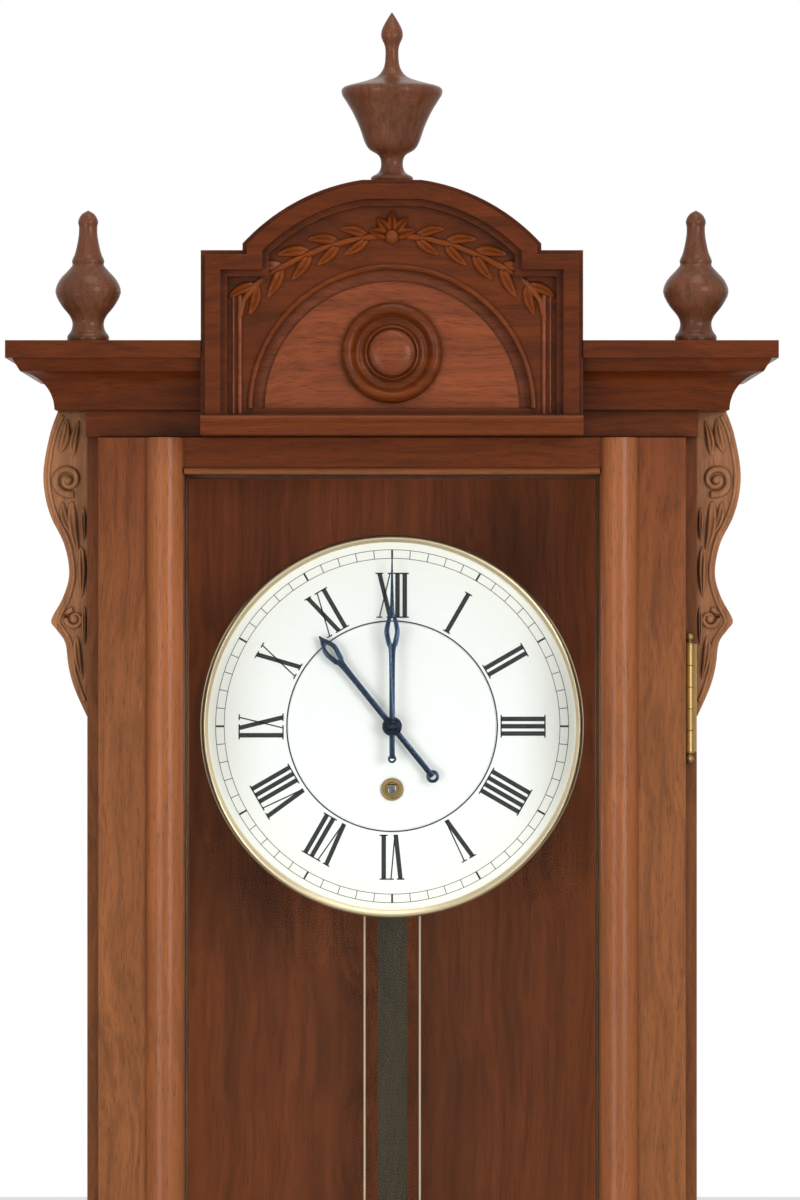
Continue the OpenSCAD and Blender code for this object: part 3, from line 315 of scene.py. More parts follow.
def brass_finish(name, base, brushed=None, rough=0.2, old=0.35):
    """Lacquered brass: brushed one way, or turned and polished, with tarnish in the corners."""
    made = Finish(name, Metallic=1.0)
    patches = made.ramp(made.noise(made.place, 55, 4, 0.6), (0.42, 0.0), (0.72, 1.0))
    corner_tarnish_and_shade = made.ramp(made.corners(0.005), (0.15, 1.0), (0.75, 0.0))
    dull = made.math("ADD", made.math("MULTIPLY", patches, old * 0.5),
                     made.math("MULTIPLY", corner_tarnish_and_shade, old * 1.6), clamp=True)
    edges = made.soft_edges(0.0004)
    lines = made.noise(made.mapped(brushed or (1, 1, 1)), 1500 if brushed else 260, 3)
    made.set(made.skin, Base_Color=made.mix(dull, base, colours().tarnish),
             Roughness=made.math("ADD", made.math("MULTIPLY", dull, 0.35),
                                 made.math("ADD", made.math("MULTIPLY", lines, 0.12), rough - 0.06)),
             Normal=made.add("Bump", Strength=0.10 if brushed else 0.04, Distance=0.0002, Height=lines,
                             Normal=edges).outputs[0])
    return made.material


def metal_finish(name, base, rough, grain=900, metallic=1.0, pits=0.1):
    """Steel or painted iron: fine mottling in colour, gloss and surface."""
    made = Finish(name, Metallic=metallic)
    mottle = made.noise(made.place, grain, 4, 0.6)
    broad = made.noise(made.place, 70, 3)
    edges = made.soft_edges(0.0003)
    tone = made.mix(made.math("MULTIPLY", broad, 0.7), tinted(base, 0.75), tinted(base, 1.25))
    bump = made.add("Bump", Strength=pits, Distance=0.0002, Height=mottle, Normal=edges)
    made.set(made.skin, Base_Color=tone, Normal=bump.outputs[0],
             Roughness=made.math("ADD", made.math("MULTIPLY", mottle, 0.18), rough - 0.09))
    return made.material


def enamel_finish(name):
    """Fired enamel: cool white in the middle, creamier on the margin, with faint hair cracks."""
    made = Finish(name, Roughness=0.16, Specular_IOR_Level=0.35, Coat_Weight=0.25, Coat_Roughness=0.05)
    from_centre = made.mapped((1, 0, 1), (-CENTRE.x, 0, -CENTRE.z))
    reach = made.add("VectorMath", {"operation": "LENGTH"})
    made.tree.links.new(from_centre, reach.inputs[0])
    tone = made.ramp(made.math("MULTIPLY", reach.outputs["Value"], 11.0), (0.50, colours().enamel),
                     (0.62, colours().enamel), (0.95, colours().cream))
    cracks = made.add("TexVoronoi", {"feature": "DISTANCE_TO_EDGE"}, Vector=made.place, Scale=70,
                      Randomness=1.0)
    lines = made.ramp(cracks.outputs["Distance"], (0.0, 0.06), (0.012, 0.0))
    speck = made.ramp(made.noise(made.place, 800, 2), (0.70, 0.0), (0.78, 0.12))
    tone = made.mix(lines, tone, (0.45, 0.40, 0.33))
    tone = made.mix(speck, tone, (0.5, 0.45, 0.38))
    swell = made.noise(made.place, 40, 2)
    made.set(made.skin, Base_Color=tone,
             Normal=made.add("Bump", Strength=0.05, Distance=0.0004, Height=swell,
                             Normal=made.soft_edges(0.0006)).outputs[0])
    return made.material


def ink_finish(name):
    """Fired black on enamel, a little thin in places."""
    made = Finish(name, Roughness=0.28, Specular_IOR_Level=0.35)
    worn_ink = (0.03, 0.03, 0.033)
    thin = made.ramp(made.noise(made.place, 900, 3), (0.35, worn_ink), (0.7, colours().ink))
    made.set(made.skin, Base_Color=thin)
    return made.material


def glass_finish(name):
    """Old window glass, thin and clear: it passes the view and the lamps, and mirrors at a slant."""
    made = Finish(name, Base_Color=(0.95, 0.97, 0.96), Metallic=1.0, Roughness=0.02)
    ripple = made.add("Bump", Strength=0.04, Distance=0.002, Height=made.noise(made.place, 9, 2))
    made.set(made.skin, Normal=ripple.outputs[0])
    clear = made.add("BsdfTransparent", Color=(0.975, 0.985, 0.978))
    slant = made.math("POWER", made.add("LayerWeight", Blend=0.5).outputs["Facing"], 4.0)
    both = made.add("MixShader")
    made.tree.links.new(made.math("ADD", made.math("MULTIPLY", slant, 0.8), 0.003), both.inputs[0])
    made.tree.links.new(clear.outputs[0], both.inputs[1])
    made.tree.links.new(made.skin.outputs[0], both.inputs[2])
    made.tree.links.new(both.outputs[0], made.tree.nodes["Material Output"].inputs["Surface"])
    return made.material


def line_finish(name):
    """Twisted gut: fine slanting strands."""
    made = Finish(name, Roughness=0.45, Specular_IOR_Level=0.4)
    strands = made.add("TexWave", {"bands_direction": "DIAGONAL"}, Vector=made.place, Scale=900,
                       Distortion=2)
    tone = made.mix(strands.outputs["Fac"], tinted(colours().gut, 0.55), tinted(colours().gut, 1.2))
    made.set(made.skin, Base_Color=tone, Normal=made.add(
        "Bump", Strength=0.4, Distance=0.0002, Height=strands.outputs["Fac"]).outputs[0])
    return made.material


FINISHES = {}


def finish(name):
    """The named material, made once."""
    if name not in FINISHES:
        c = colours()
        makers = {
            # Painted shadow: this walnut darkens towards its top, as if under the cornice
            "walnut_up": lambda: wood(name, c.walnut, "Z", above=UPPER_STILE_PAINTED_SHADOW),
            "walnut_across": lambda: wood(name, c.walnut, "X", seed=0.3),
            # Painted light: the back board is lighter above the dial, against the shade of the case's top
            "board_up": lambda: wood(name, c.board, "Z", shine=0.05, seed=0.5, above=ABOVE_DIAL_PAINTED_LIGHT),
            "cornice_wood": lambda: wood(name, c.dark_walnut, "mitre", seed=0.2),
            "base_wood": lambda: wood(name, c.walnut, "mitre", seed=0.7),
            "dark_across": lambda: wood(name, c.dark_walnut, "X", seed=0.4),
            "dark_up": lambda: wood(name, c.dark_walnut, "Z", seed=0.1),
            "red_across": lambda: wood(name, c.red_walnut, "X", seed=0.6),
            "spandrel_wood": lambda: wood(name, c.red_walnut, "X", seed=0.6, above=SPANDREL_FIELD),
            "light_across": lambda: wood(name, tinted(c.light_walnut, 0.8), "X", shine=0.2, figure=0.3,
                                         seed=0.45),
            "light_up": lambda: wood(name, c.light_walnut, "Z", shine=0.14, figure=0.3, seed=0.25),
            "panel_wood": lambda: wood(name, c.panel, "X", seed=0.15),
            # Painted highlight: the carving is red walnut made lighter, so that its leaves read as lit
            "carving_painted_highlight": lambda: wood(name, tinted(c.red_walnut, 1.35), "X", figure=0.3, seed=0.65),
            "ear_wood": lambda: wood(name, c.ear, "Z", seed=0.35),
            "turned_wood": lambda: wood(name, c.turnery, "Z", shine=0.16, seed=0.85),
            "ebony": lambda: wood(name, c.ebony, "Z", shine=0.25, figure=0.3),
            "brass_polished": lambda: brass_finish(name, c.brass, rough=0.12, old=0.2),
            "brass_pale": lambda: brass_finish(name, (0.70, 0.57, 0.37), rough=0.34, old=0.12),
            "brass_plate": lambda: brass_finish(name, c.brass, (1, 1, 0.02), 0.26),
            "brass_wheel": lambda: brass_finish(name, tinted(c.brass, 0.95), rough=0.22),
            "brass_old": lambda: brass_finish(name, tinted(c.brass, 0.42), rough=0.34, old=0.8),
            "steel": lambda: metal_finish(name, c.steel, 0.28),
            "steel_blue": lambda: metal_finish(name, tinted(c.steel, 0.6), 0.24),
            "steel_dark": lambda: metal_finish(name, tinted(c.steel, 0.35), 0.30),
            "blued": lambda: metal_finish(name, c.blued, 0.26),
            "iron": lambda: metal_finish(name, c.iron, 0.5, 400, 0.0, 0.35),
            "enamel": lambda: enamel_finish(name),
            "ink": lambda: ink_finish(name),
            "glass": lambda: glass_finish(name),
            "gut": lambda: line_finish(name),
        }
        FINISHES[name] = makers[name]()
    return FINISHES[name]


# Mesh helpers

def placed(bm, matrix, verts=None):
    bmesh.ops.transform(bm, matrix=matrix, verts=verts or bm.verts[:])


def mm(points):
    """The same points, turned from millimetres to metres."""
    return [tuple(value * MM for value in point) for point in points]


def looped(profile):
    """A profile that comes back to its first point."""
    return [*profile, profile[0]]


def added(bm, before):
    """What a bmesh has beyond the vertices before: vertices, edges and faces."""
    verts = [v for v in bm.verts if v not in before]
    edges = {e for v in verts for e in v.link_edges}
    faces = {f for v in verts for f in v.link_faces}
    return verts, list(edges), list(faces)


def sharp_edges(bm, angle):
    limit = math.radians(angle)
    return [e for e in bm.edges if len(e.link_faces) == 2 and e.calc_face_angle(0) > limit]


def bevelled(bm, offset, segments=2, angle=30):
    bmesh.ops.bevel(bm, geom=sharp_edges(bm, angle), offset=offset, offset_type="OFFSET", segments=segments,
                    profile=0.5, affect="EDGES", clamp_overlap=True, material=-1)


def piece(name, bm, look, body=None, stands_for=(), smooth=38):
    """Turns a bmesh into a finished object that rides on a body."""
    mesh = bpy.data.meshes.new(name)
    bm.to_mesh(mesh)
    bm.free()
    mesh.shade_smooth()
    mesh.set_sharp_from_angle(angle=math.radians(smooth))
    mesh.materials.append(finish(look))
    obj = bpy.data.objects.new(name, mesh)
    bpy.context.scene.collection.objects.link(obj)
    if body:
        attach(obj, body)
    if stands_for:
        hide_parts(*stands_for)
    return obj


def bar(bm, low, high):
    """A block between two corners; gives its vertices."""
    low, high = Vector(low), Vector(high)
    made = bmesh.ops.create_cube(bm, size=1)["verts"]
    middle = (low + high) / 2
    placed(bm, Matrix.Translation(middle) @ Matrix.Diagonal((*(high - low), 1)), made)
    return made


def turned(bm, profile, place, axis="Z", steps=64):
    """Spins points (radius, distance along the axis) about an axis through place."""
    verts = [bm.verts.new((max(r, 0), 0, z)) for r, z in profile]
    edges = [bm.edges.new(pair) for pair in zip(verts, verts[1:])]
    before = set(bm.verts) - set(verts)
    bmesh.ops.spin(bm, geom=verts + edges, cent=(0, 0, 0), axis=(0, 0, 1), dvec=(0, 0, 0),
                   angle=2 * math.pi, steps=steps, use_merge=True)
    made = [v for v in bm.verts if v not in before]
    bmesh.ops.remove_doubles(bm, verts=made, dist=1e-6)
    made = [v for v in bm.verts if v not in before]
    degrees = {"Z": 0, "Y": 90, "-Y": -90, "-Z": 180}[axis]
    placed(bm, Matrix.Translation(Vector(place)) @ Matrix.Rotation(math.radians(degrees), 4, "X"), made)
    faces = list({f for v in made for f in v.link_faces})
    bmesh.ops.recalc_face_normals(bm, faces=faces)


def smooth_profile(points, parts=4):
    """A Catmull-Rom run through the points, kept at the ends."""
    full = [points[0], *points, points[-1]]
    out = []
    for a, b, c, d in zip(full, full[1:], full[2:], full[3:]):
        for i in range(parts):
            t = i / parts
            out.append(tuple(0.5 * (2 * q + (r - p) * t + (2 * p - 5 * q + 4 * r - s) * t * t
                                    + (3 * q - p - 3 * r + s) * t ** 3) for p, q, r, s in zip(a, b, c, d)))
    return [*out, tuple(points[-1])]


def plate(bm, outline, back, front, holes=()):
    """A flat outline of (x, z) points, with holes, drawn out from y back to y front."""
    before = set(bm.verts)
    edges = []
    for loop in (outline, *holes):
        verts = [bm.verts.new((x, back, z)) for x, z in loop]
        edges += [bm.edges.new((verts[i - 1], verts[i])) for i in range(len(verts))]
    faces = [g for g in bmesh.ops.triangle_fill(bm, edges=edges, use_beauty=True)["geom"]
             if isinstance(g, bmesh.types.BMFace)]
    if not holes:
        faces = bmesh.ops.dissolve_faces(bm, faces=faces)["region"]
    grown = bmesh.ops.extrude_face_region(bm, geom=faces)["geom"]
    bmesh.ops.translate(bm, vec=(0, front - back, 0),
                        verts=[g for g in grown if isinstance(g, bmesh.types.BMVert)])
    bmesh.ops.dissolve_limit(bm, angle_limit=0.01, verts=[v for v in bm.verts if v not in before],
                             edges=[e for e in bm.edges if e.verts[0] not in before])
    bmesh.ops.recalc_face_normals(bm, faces=added(bm, before)[2])


def rod(bm, path, radii, sides=10, closed=False):
    """A round rod drawn along a path, with one radius for all its points or one for each."""
    points = [Vector(p) for p in path]
    if not hasattr(radii, "__len__"):
        radii = [radii] * len(points)
    hoops = []
    side = None
    for i, point in enumerate(points):
        ahead = points[(i + 1) % len(points)] if closed or i + 1 < len(points) else point
        behind = points[i - 1] if closed or i else point
        along = (ahead - behind).normalized()
        if side is None:
            side = along.orthogonal().normalized()
        side = (side - along * side.dot(along)).normalized()
        hoop = bmesh.ops.create_circle(bm, segments=sides, radius=radii[i])["verts"]
        facing = Matrix((side, along.cross(side), along)).transposed().to_4x4()
        placed(bm, Matrix.Translation(point) @ facing, hoop)
        hoops.append(hoop)
    pairs = list(zip(hoops, hoops[1:])) + ([(hoops[-1], hoops[0])] if closed else [])
    faces = []
    for a, b in pairs:
        for i in range(sides):
            faces.append(bm.faces.new((a[i - 1], a[i], b[i], b[i - 1])))
    if not closed:
        faces += [bm.faces.new(hoops[0]), bm.faces.new(hoops[-1])]
    bmesh.ops.recalc_face_normals(bm, faces=faces)


def arc_points(centre, radius, start, end, count):
    """Points (x, z) round a centre, angles in degrees from +X."""
    return [(centre[0] + radius * math.cos(math.radians(start + (end - start) * i / count)),
             centre[1] + radius * math.sin(math.radians(start + (end - start) * i / count)))
            for i in range(count + 1)]


def cut_away(bm, cutter):
    """Takes one closed bmesh out of another and gives the rest."""
    made = []
    for part in (bm, cutter):
        mesh = bpy.data.meshes.new("rough")
        part.to_mesh(mesh)
        part.free()
        made.append(bpy.data.objects.new("rough", mesh))
        bpy.context.scene.collection.objects.link(made[-1])
    saw = made[0].modifiers.new("saw", "BOOLEAN")
    saw.operation, saw.solver, saw.object = "DIFFERENCE", "EXACT", made[1]
    rest = bmesh.new()
    rest.from_object(made[0], bpy.context.evaluated_depsgraph_get())
    for obj in made:
        mesh = obj.data
        bpy.data.objects.remove(obj)
        bpy.data.meshes.remove(mesh)
    return rest


def screw(bm, place, axis, r, slot_angle):
    """A cheese-head screw of radius r with a slot, standing out along the axis."""
    half_slot = 0.16 * r
    before = set(bm.verts)
    turned(bm, [(0, -0.4 * r), (r, -0.4 * r), (r, 0.42 * r), (0.86 * r, 0.60 * r), (0.3 * r, 0.68 * r),
                (0, 0.68 * r)], (0, 0, 0), "Z", 20)
    # A band across the middle of the top is marked off and pressed in
    for x in (-half_slot, half_slot):
        head, edges, faces = added(bm, before)
        bmesh.ops.bisect_plane(bm, geom=faces + edges + head, plane_co=(x, 0, 0), plane_no=(1, 0, 0))
    head, edges, faces = added(bm, before)
    groove = [f for f in faces if abs(f.calc_center_median().x) < half_slot and f.normal.z > 0.4
              and f.calc_center_median().z > 0.3 * r]
    sunk = bmesh.ops.extrude_face_region(bm, geom=groove)["geom"]
    bmesh.ops.delete(bm, geom=groove, context="FACES")
    below = [g for g in sunk if isinstance(g, bmesh.types.BMVert)]
    bmesh.ops.translate(bm, vec=(0, 0, -0.4 * r), verts=below)
    turn = Vector((0, 0, 1)).rotation_difference(Vector(axis)).to_matrix().to_4x4()
    placed(bm, Matrix.Translation(Vector(place)) @ turn @ Matrix.Rotation(slot_angle, 4, "Z"),
           added(bm, before)[0])


def dress(look, *names):
    """Gives CAD nodes a finish in their own slots."""
    for name in names:
        obj = NODES[name]
        for slot in obj.material_slots:
            slot.material = finish(look)
        if not obj.material_slots:
            obj.data.materials.append(finish(look))


def area_lamp(name, place, aim, size, power):
    data = bpy.data.lights.new(name, "AREA")
    data.shape, data.size, data.energy = "SQUARE", size, power
    lamp = bpy.data.objects.new(name, data)
    lamp.location = place
    lamp.rotation_euler = (Vector(aim) - Vector(place)).to_track_quat("-Z", "Y").to_euler()
    bpy.context.scene.collection.objects.link(lamp)


# Operators

class REGULATOR_OT_stage(bpy.types.Operator):
    """Sets the camera, the pale floor, the white surround and the lamps"""

    bl_idname = "regulator.stage"
    bl_label = "Stage"

    def execute(self, context):
        context.scene.view_settings.view_transform = "Standard"
        self.camera(context.scene)
        self.surround(context.scene)
        self.ground(context.scene)
        for name, (place, aim, width, watts) in LAMPS.items():
            area_lamp(name, place, aim, width, watts)
        return {"FINISHED"}

    def camera(self, scene):
        camera = bpy.data.objects.new("camera", bpy.data.cameras.new("camera"))
        camera.data.sensor_width = 36
        camera.data.lens = LENS
        camera.location = (AIM_X, AIM_Y - sizes().camera_distance, AIM_Z)
        camera.rotation_euler = (math.radians(90), 0, 0)
        scene.collection.objects.link(camera)
        scene.camera = camera

    def surround(self, scene):
        """White to the camera and in reflections, softer as a light on the clock"""
        world = bpy.data.worlds.new("studio")
        scene.world = world
        world.use_nodes = True
        tree = world.node_tree
        path = tree.nodes.new("ShaderNodeLightPath")
        seen = path.outputs["Is Camera Ray"]
        for other in ("Is Glossy Ray", "Is Transmission Ray"):
            either = tree.nodes.new("ShaderNodeMath")
            either.operation = "MAXIMUM"
            tree.links.new(seen, either.inputs[0])
            tree.links.new(path.outputs[other], either.inputs[1])
            seen = either.outputs[0]
        strength = tree.nodes.new("ShaderNodeMapRange")
        strength.inputs["To Min"].default_value = 0.55
        strength.inputs["To Max"].default_value = 1.0
        tree.links.new(seen, strength.inputs["Value"])
        white = tree.nodes["Background"]
        white.inputs["Color"].default_value = (1, 1, 1, 1)
        tree.links.new(strength.outputs[0], white.inputs["Strength"])

    def ground(self, scene):
        bm = bmesh.new()
        bmesh.ops.create_grid(bm, x_segments=2, y_segments=2, size=9)
        placed(bm, Matrix.Translation((0, 0, FLOOR_Z)))
        paint = Finish("floor", Roughness=0.7, Specular_IOR_Level=0.2)
        tone = paint.noise(paint.place, 6, 3)
        paint.set(paint.skin, Base_Color=paint.mix(
            tone, tinted(colours().floor, 0.98), tinted(colours().floor, 1.02)))
        # The camera sees the floor lifted towards the white surround, with the clock's shadow kept
        pale = paint.add("Emission", Color=(1, 1, 1), Strength=0.92)
        lifted = paint.add("MixShader")
        share = paint.math("MULTIPLY", paint.add("LightPath").outputs["Is Camera Ray"], 0.6)
        paint.tree.links.new(share, lifted.inputs[0])
        paint.tree.links.new(paint.skin.outputs[0], lifted.inputs[1])
        paint.tree.links.new(pale.outputs[0], lifted.inputs[2])
        paint.tree.links.new(lifted.outputs[0], paint.tree.nodes["Material Output"].inputs["Surface"])
        mesh = bpy.data.meshes.new("floor")
        bm.to_mesh(mesh)
        bm.free()
        mesh.materials.append(paint.material)
        floor = bpy.data.objects.new("floor", mesh)
        scene.collection.objects.link(floor)


class REGULATOR_OT_case_wood(bpy.types.Operator):
    """Polishes the wood of the case, each part along its own grain"""

    bl_idname = "regulator.case_wood"
    bl_label = "Case wood"

    def execute(self, context):
        dress("walnut_up", "left_side_frame", "right_side_frame", "door_left_stile", "door_right_stile")
        dress("board_up", "back_board")
        dress("walnut_across", "top_board", "bottom_board", "door_bottom_rail", "base_console")
        dress("red_across", "frieze_rail", "door_top_rail", "pediment_board")
        dress("spandrel_wood", "pediment_spandrel")
        dress("dark_across", "pediment_rim")
        dress("cornice_wood", "cornice_left", "cornice_right")
        dress("base_wood", "base_moulding")
        dress("light_up", "door_beads")
        dress("panel_wood", "pediment_panel")
        dress("ear_wood", "ear_brackets")
        dress("turned_wood", "center_finial", "side_finials", "pendants")
        return {"FINISHED"}


class REGULATOR_OT_metal_and_glass(bpy.types.Operator):
    """Finishes the frame's brass, steel, iron, enamel and glass"""

    bl_idname = "regulator.metal_and_glass"
    bl_label = "Metal and glass"

    def execute(self, context):
        dress("glass", "side_glass", "door_glass")
        dress("iron", "movement_bracket", "hanger_plate")
        dress("brass_plate", "back_plate", "front_plate", "suspension_cock", "door_lock_case")
        dress("brass_old", "case_hinge_leaves", "door_hinge_leaves")
        dress("brass_wheel", "great_wheel", "center_wheel", "third_wheel", "minute_wheel", "hour_wheel",
              "escape_wheel", "winding_drum", "plate_pillars", "cannon_pinion", "ratchet_click")
        dress("brass_pale", "dial_bezel")
        dress("brass_polished", "pendulum_bob", "rating_nut", "weight_pulley", "driving_weight",
              "door_key")
        dress("steel", "pallet_anchor", "lock_bolt")
        dress("blued", "suspension_spring", "minute_hand", "hour_hand")
        dress("enamel", "dial", "beat_plate")
        dress("ebony", "pendulum_rod")
        dress("gut", "weight_line")
        return {"FINISHED"}


def stroke(bm, foot, head, width, low, high):
    """A numeral's stroke from x foot at z low to x head at z high, with level ends."""
    made = bar(bm, (-width / 2, -0.5, low), (width / 2, 0.5, high))
    lean = Matrix.Identity(4)
    lean[0][2] = (head - foot) / (high - low)
    lean[0][3] = foot - lean[0][2] * low
    placed(bm, lean, made)
    return made


def numeral(bm, letters, hour):
    """One Roman numeral with its feet to the dial's centre."""
    s = sizes()
    tall, thick, thin = s.numeral_h, s.thick_stroke, s.thin_stroke
    serif, gap = 0.0015, 0.0006
    wide = {"I": thick + 0.0013, "V": 0.0078, "X": 0.0084}
    x = -sum(wide[letter] for letter in letters) / 2
    made = []
    for letter in letters:
        mid, half = x + wide[letter] / 2, wide[letter] / 2
        if letter == "I":
            made += stroke(bm, mid, mid, thick, 0, tall)
            made += stroke(bm, mid, mid, wide[letter] + 0.0004, 0, thin)
            made += stroke(bm, mid, mid, wide[letter] + 0.0004, tall - thin, tall)
        else:
            top = half - thick / 2 - gap
            foot = top if letter == "X" else 0
            made += stroke(bm, mid + foot, mid - top, thick, 0, tall)
            made += stroke(bm, mid - foot if foot else mid + 0.0004, mid + top, thin, 0, tall)
            for side, wider in ((-1, thick), (1, thin * 2)):
                made += stroke(bm, mid + side * top, mid + side * top, wider + serif, tall - thin, tall)
                if foot:
                    wider = thick if side > 0 else thin * 2
                    made += stroke(bm, mid + side * foot, mid + side * foot, wider + serif, 0, thin)
        x += wide[letter]
    turn = Matrix.Rotation(math.radians(30 * hour), 4, "Y")
    flat = Matrix.Diagonal((1, 0.00022, 1, 1))
    placed(bm, Matrix.Translation((CENTRE.x, DIAL_FACE, CENTRE.z)) @ turn
           @ Matrix.Translation((0, 0, s.numeral_foot)) @ flat, made)


def ring(bm, inner, outer, back, front, centre=CENTRE, steps=128):
    turned(bm, looped([(inner, back), (outer, back), (outer, front), (inner, front)]),
           (centre.x, 0, centre.z), "Y", steps)


class REGULATOR_OT_dial_marks(bpy.types.Operator):
    """Fires the Roman numerals, the minute track and the chapter circle on the dial"""

    bl_idname = "regulator.dial_marks"
    bl_label = "Dial marks"

    def execute(self, context):
        bm = bmesh.new()
        letters = ("XII", "I", "II", "III", "IIII", "V", "VI", "VII", "VIII", "IX", "X", "XI")
        for hour, text in enumerate(letters):
            numeral(bm, text, hour)
        piece("numerals", bm, "ink", "case")
        self.circles()
        return {"FINISHED"}

    def circles(self):
        s = sizes()
        thick = 0.0001
        # Half widths of the track's circles, of the chapter circle and of the ticks
        track_half, chapter_half, five_half, minute_half = 0.00013, 0.00033, 0.00045, 0.00016
        back, front = -DIAL_FACE - thick, -DIAL_FACE + thick
        bm = bmesh.new()
        for r in (s.track_inner, s.track_outer):
            ring(bm, r - track_half, r + track_half, back, front)
        for minute in range(60):
            half = five_half if minute % 5 == 0 else minute_half
            tick = bar(bm, (-half, -front, s.track_inner), (half, -back, s.track_outer))
            placed(bm, Matrix.Translation((CENTRE.x, 0, CENTRE.z))
                   @ Matrix.Rotation(math.radians(6 * minute), 4, "Y"), tick)
        ring(bm, s.chapter_r - chapter_half, s.chapter_r + chapter_half, back, front)
        piece("minute_track", bm, "ink", "case")


def face_at(face, z):
    """The y of a carved face at a height: a level one is a number, a sloping one a function."""
    return face(z) if callable(face) else face


def leaf(bm, root, tip, wide, rise, face, bend=0.0):
    """A carved leaf from root to tip, both (x, z), on the face: pointed, domed, with a sunk midrib."""
    made = bmesh.ops.create_uvsphere(bm, u_segments=16, v_segments=10, radius=1)["verts"]
    root, tip = Vector(root), Vector(tip)
    run = tip - root
    across = Vector((-run.y, run.x)).normalized()
    # Each vertex of the ball goes to its share of the length, the width and the thickness
    for v in made:
        t, side, up = (v.co.z + 1) / 2, v.co.x, v.co.y
        half = wide / 2 * (1 - 0.45 * t * t)
        spine = root + run * t + across * bend * math.sin(math.pi * t)
        flat = spine + across * side * half
        rib = 1 - 0.5 * math.exp(-(side / 0.2) ** 2)
        lift = -up * (0.0006 if up > 0 else rise * rib * (0.55 + 0.45 * math.sin(math.pi * t)))
        v.co = (flat.x, face_at(face, flat.y) - lift, flat.y)
    faces = list({f for v in made for f in v.link_faces})
    bmesh.ops.recalc_face_normals(bm, faces=faces)


def volute(centre, radius, start, sweep, face, thick):
    """Points and shrinking radii of a spiral that lies on the face."""
    count = 36
    path, radii = [], []
    for i in range(count + 1):
        t = i / count
        r = radius * (1 - 0.86 * t)
        a = math.radians(start + sweep * t)
        z = centre[1] + r * math.sin(a)
        path.append((centre[0] + r * math.cos(a), face_at(face, z), z))
        radii.append(thick * (1 - 0.5 * t))
    return path, radii


def both_sides(bm):
    """Mirrors the whole mesh about x = 0 and keeps both halves."""
    bmesh.ops.mirror(bm, geom=bm.verts[:] + bm.edges[:] + bm.faces[:], axis="X", merge_dist=-1)
    bmesh.ops.recalc_face_normals(bm, faces=bm.faces[:])


def on_lunette(distance, degrees):
    """A point (x, z) at a distance in mm from the middle of the pediment's round head."""
    a = math.radians(degrees)
    return LUNETTE.x + distance * MM * math.cos(a), LUNETTE.z + distance * MM * math.sin(a)


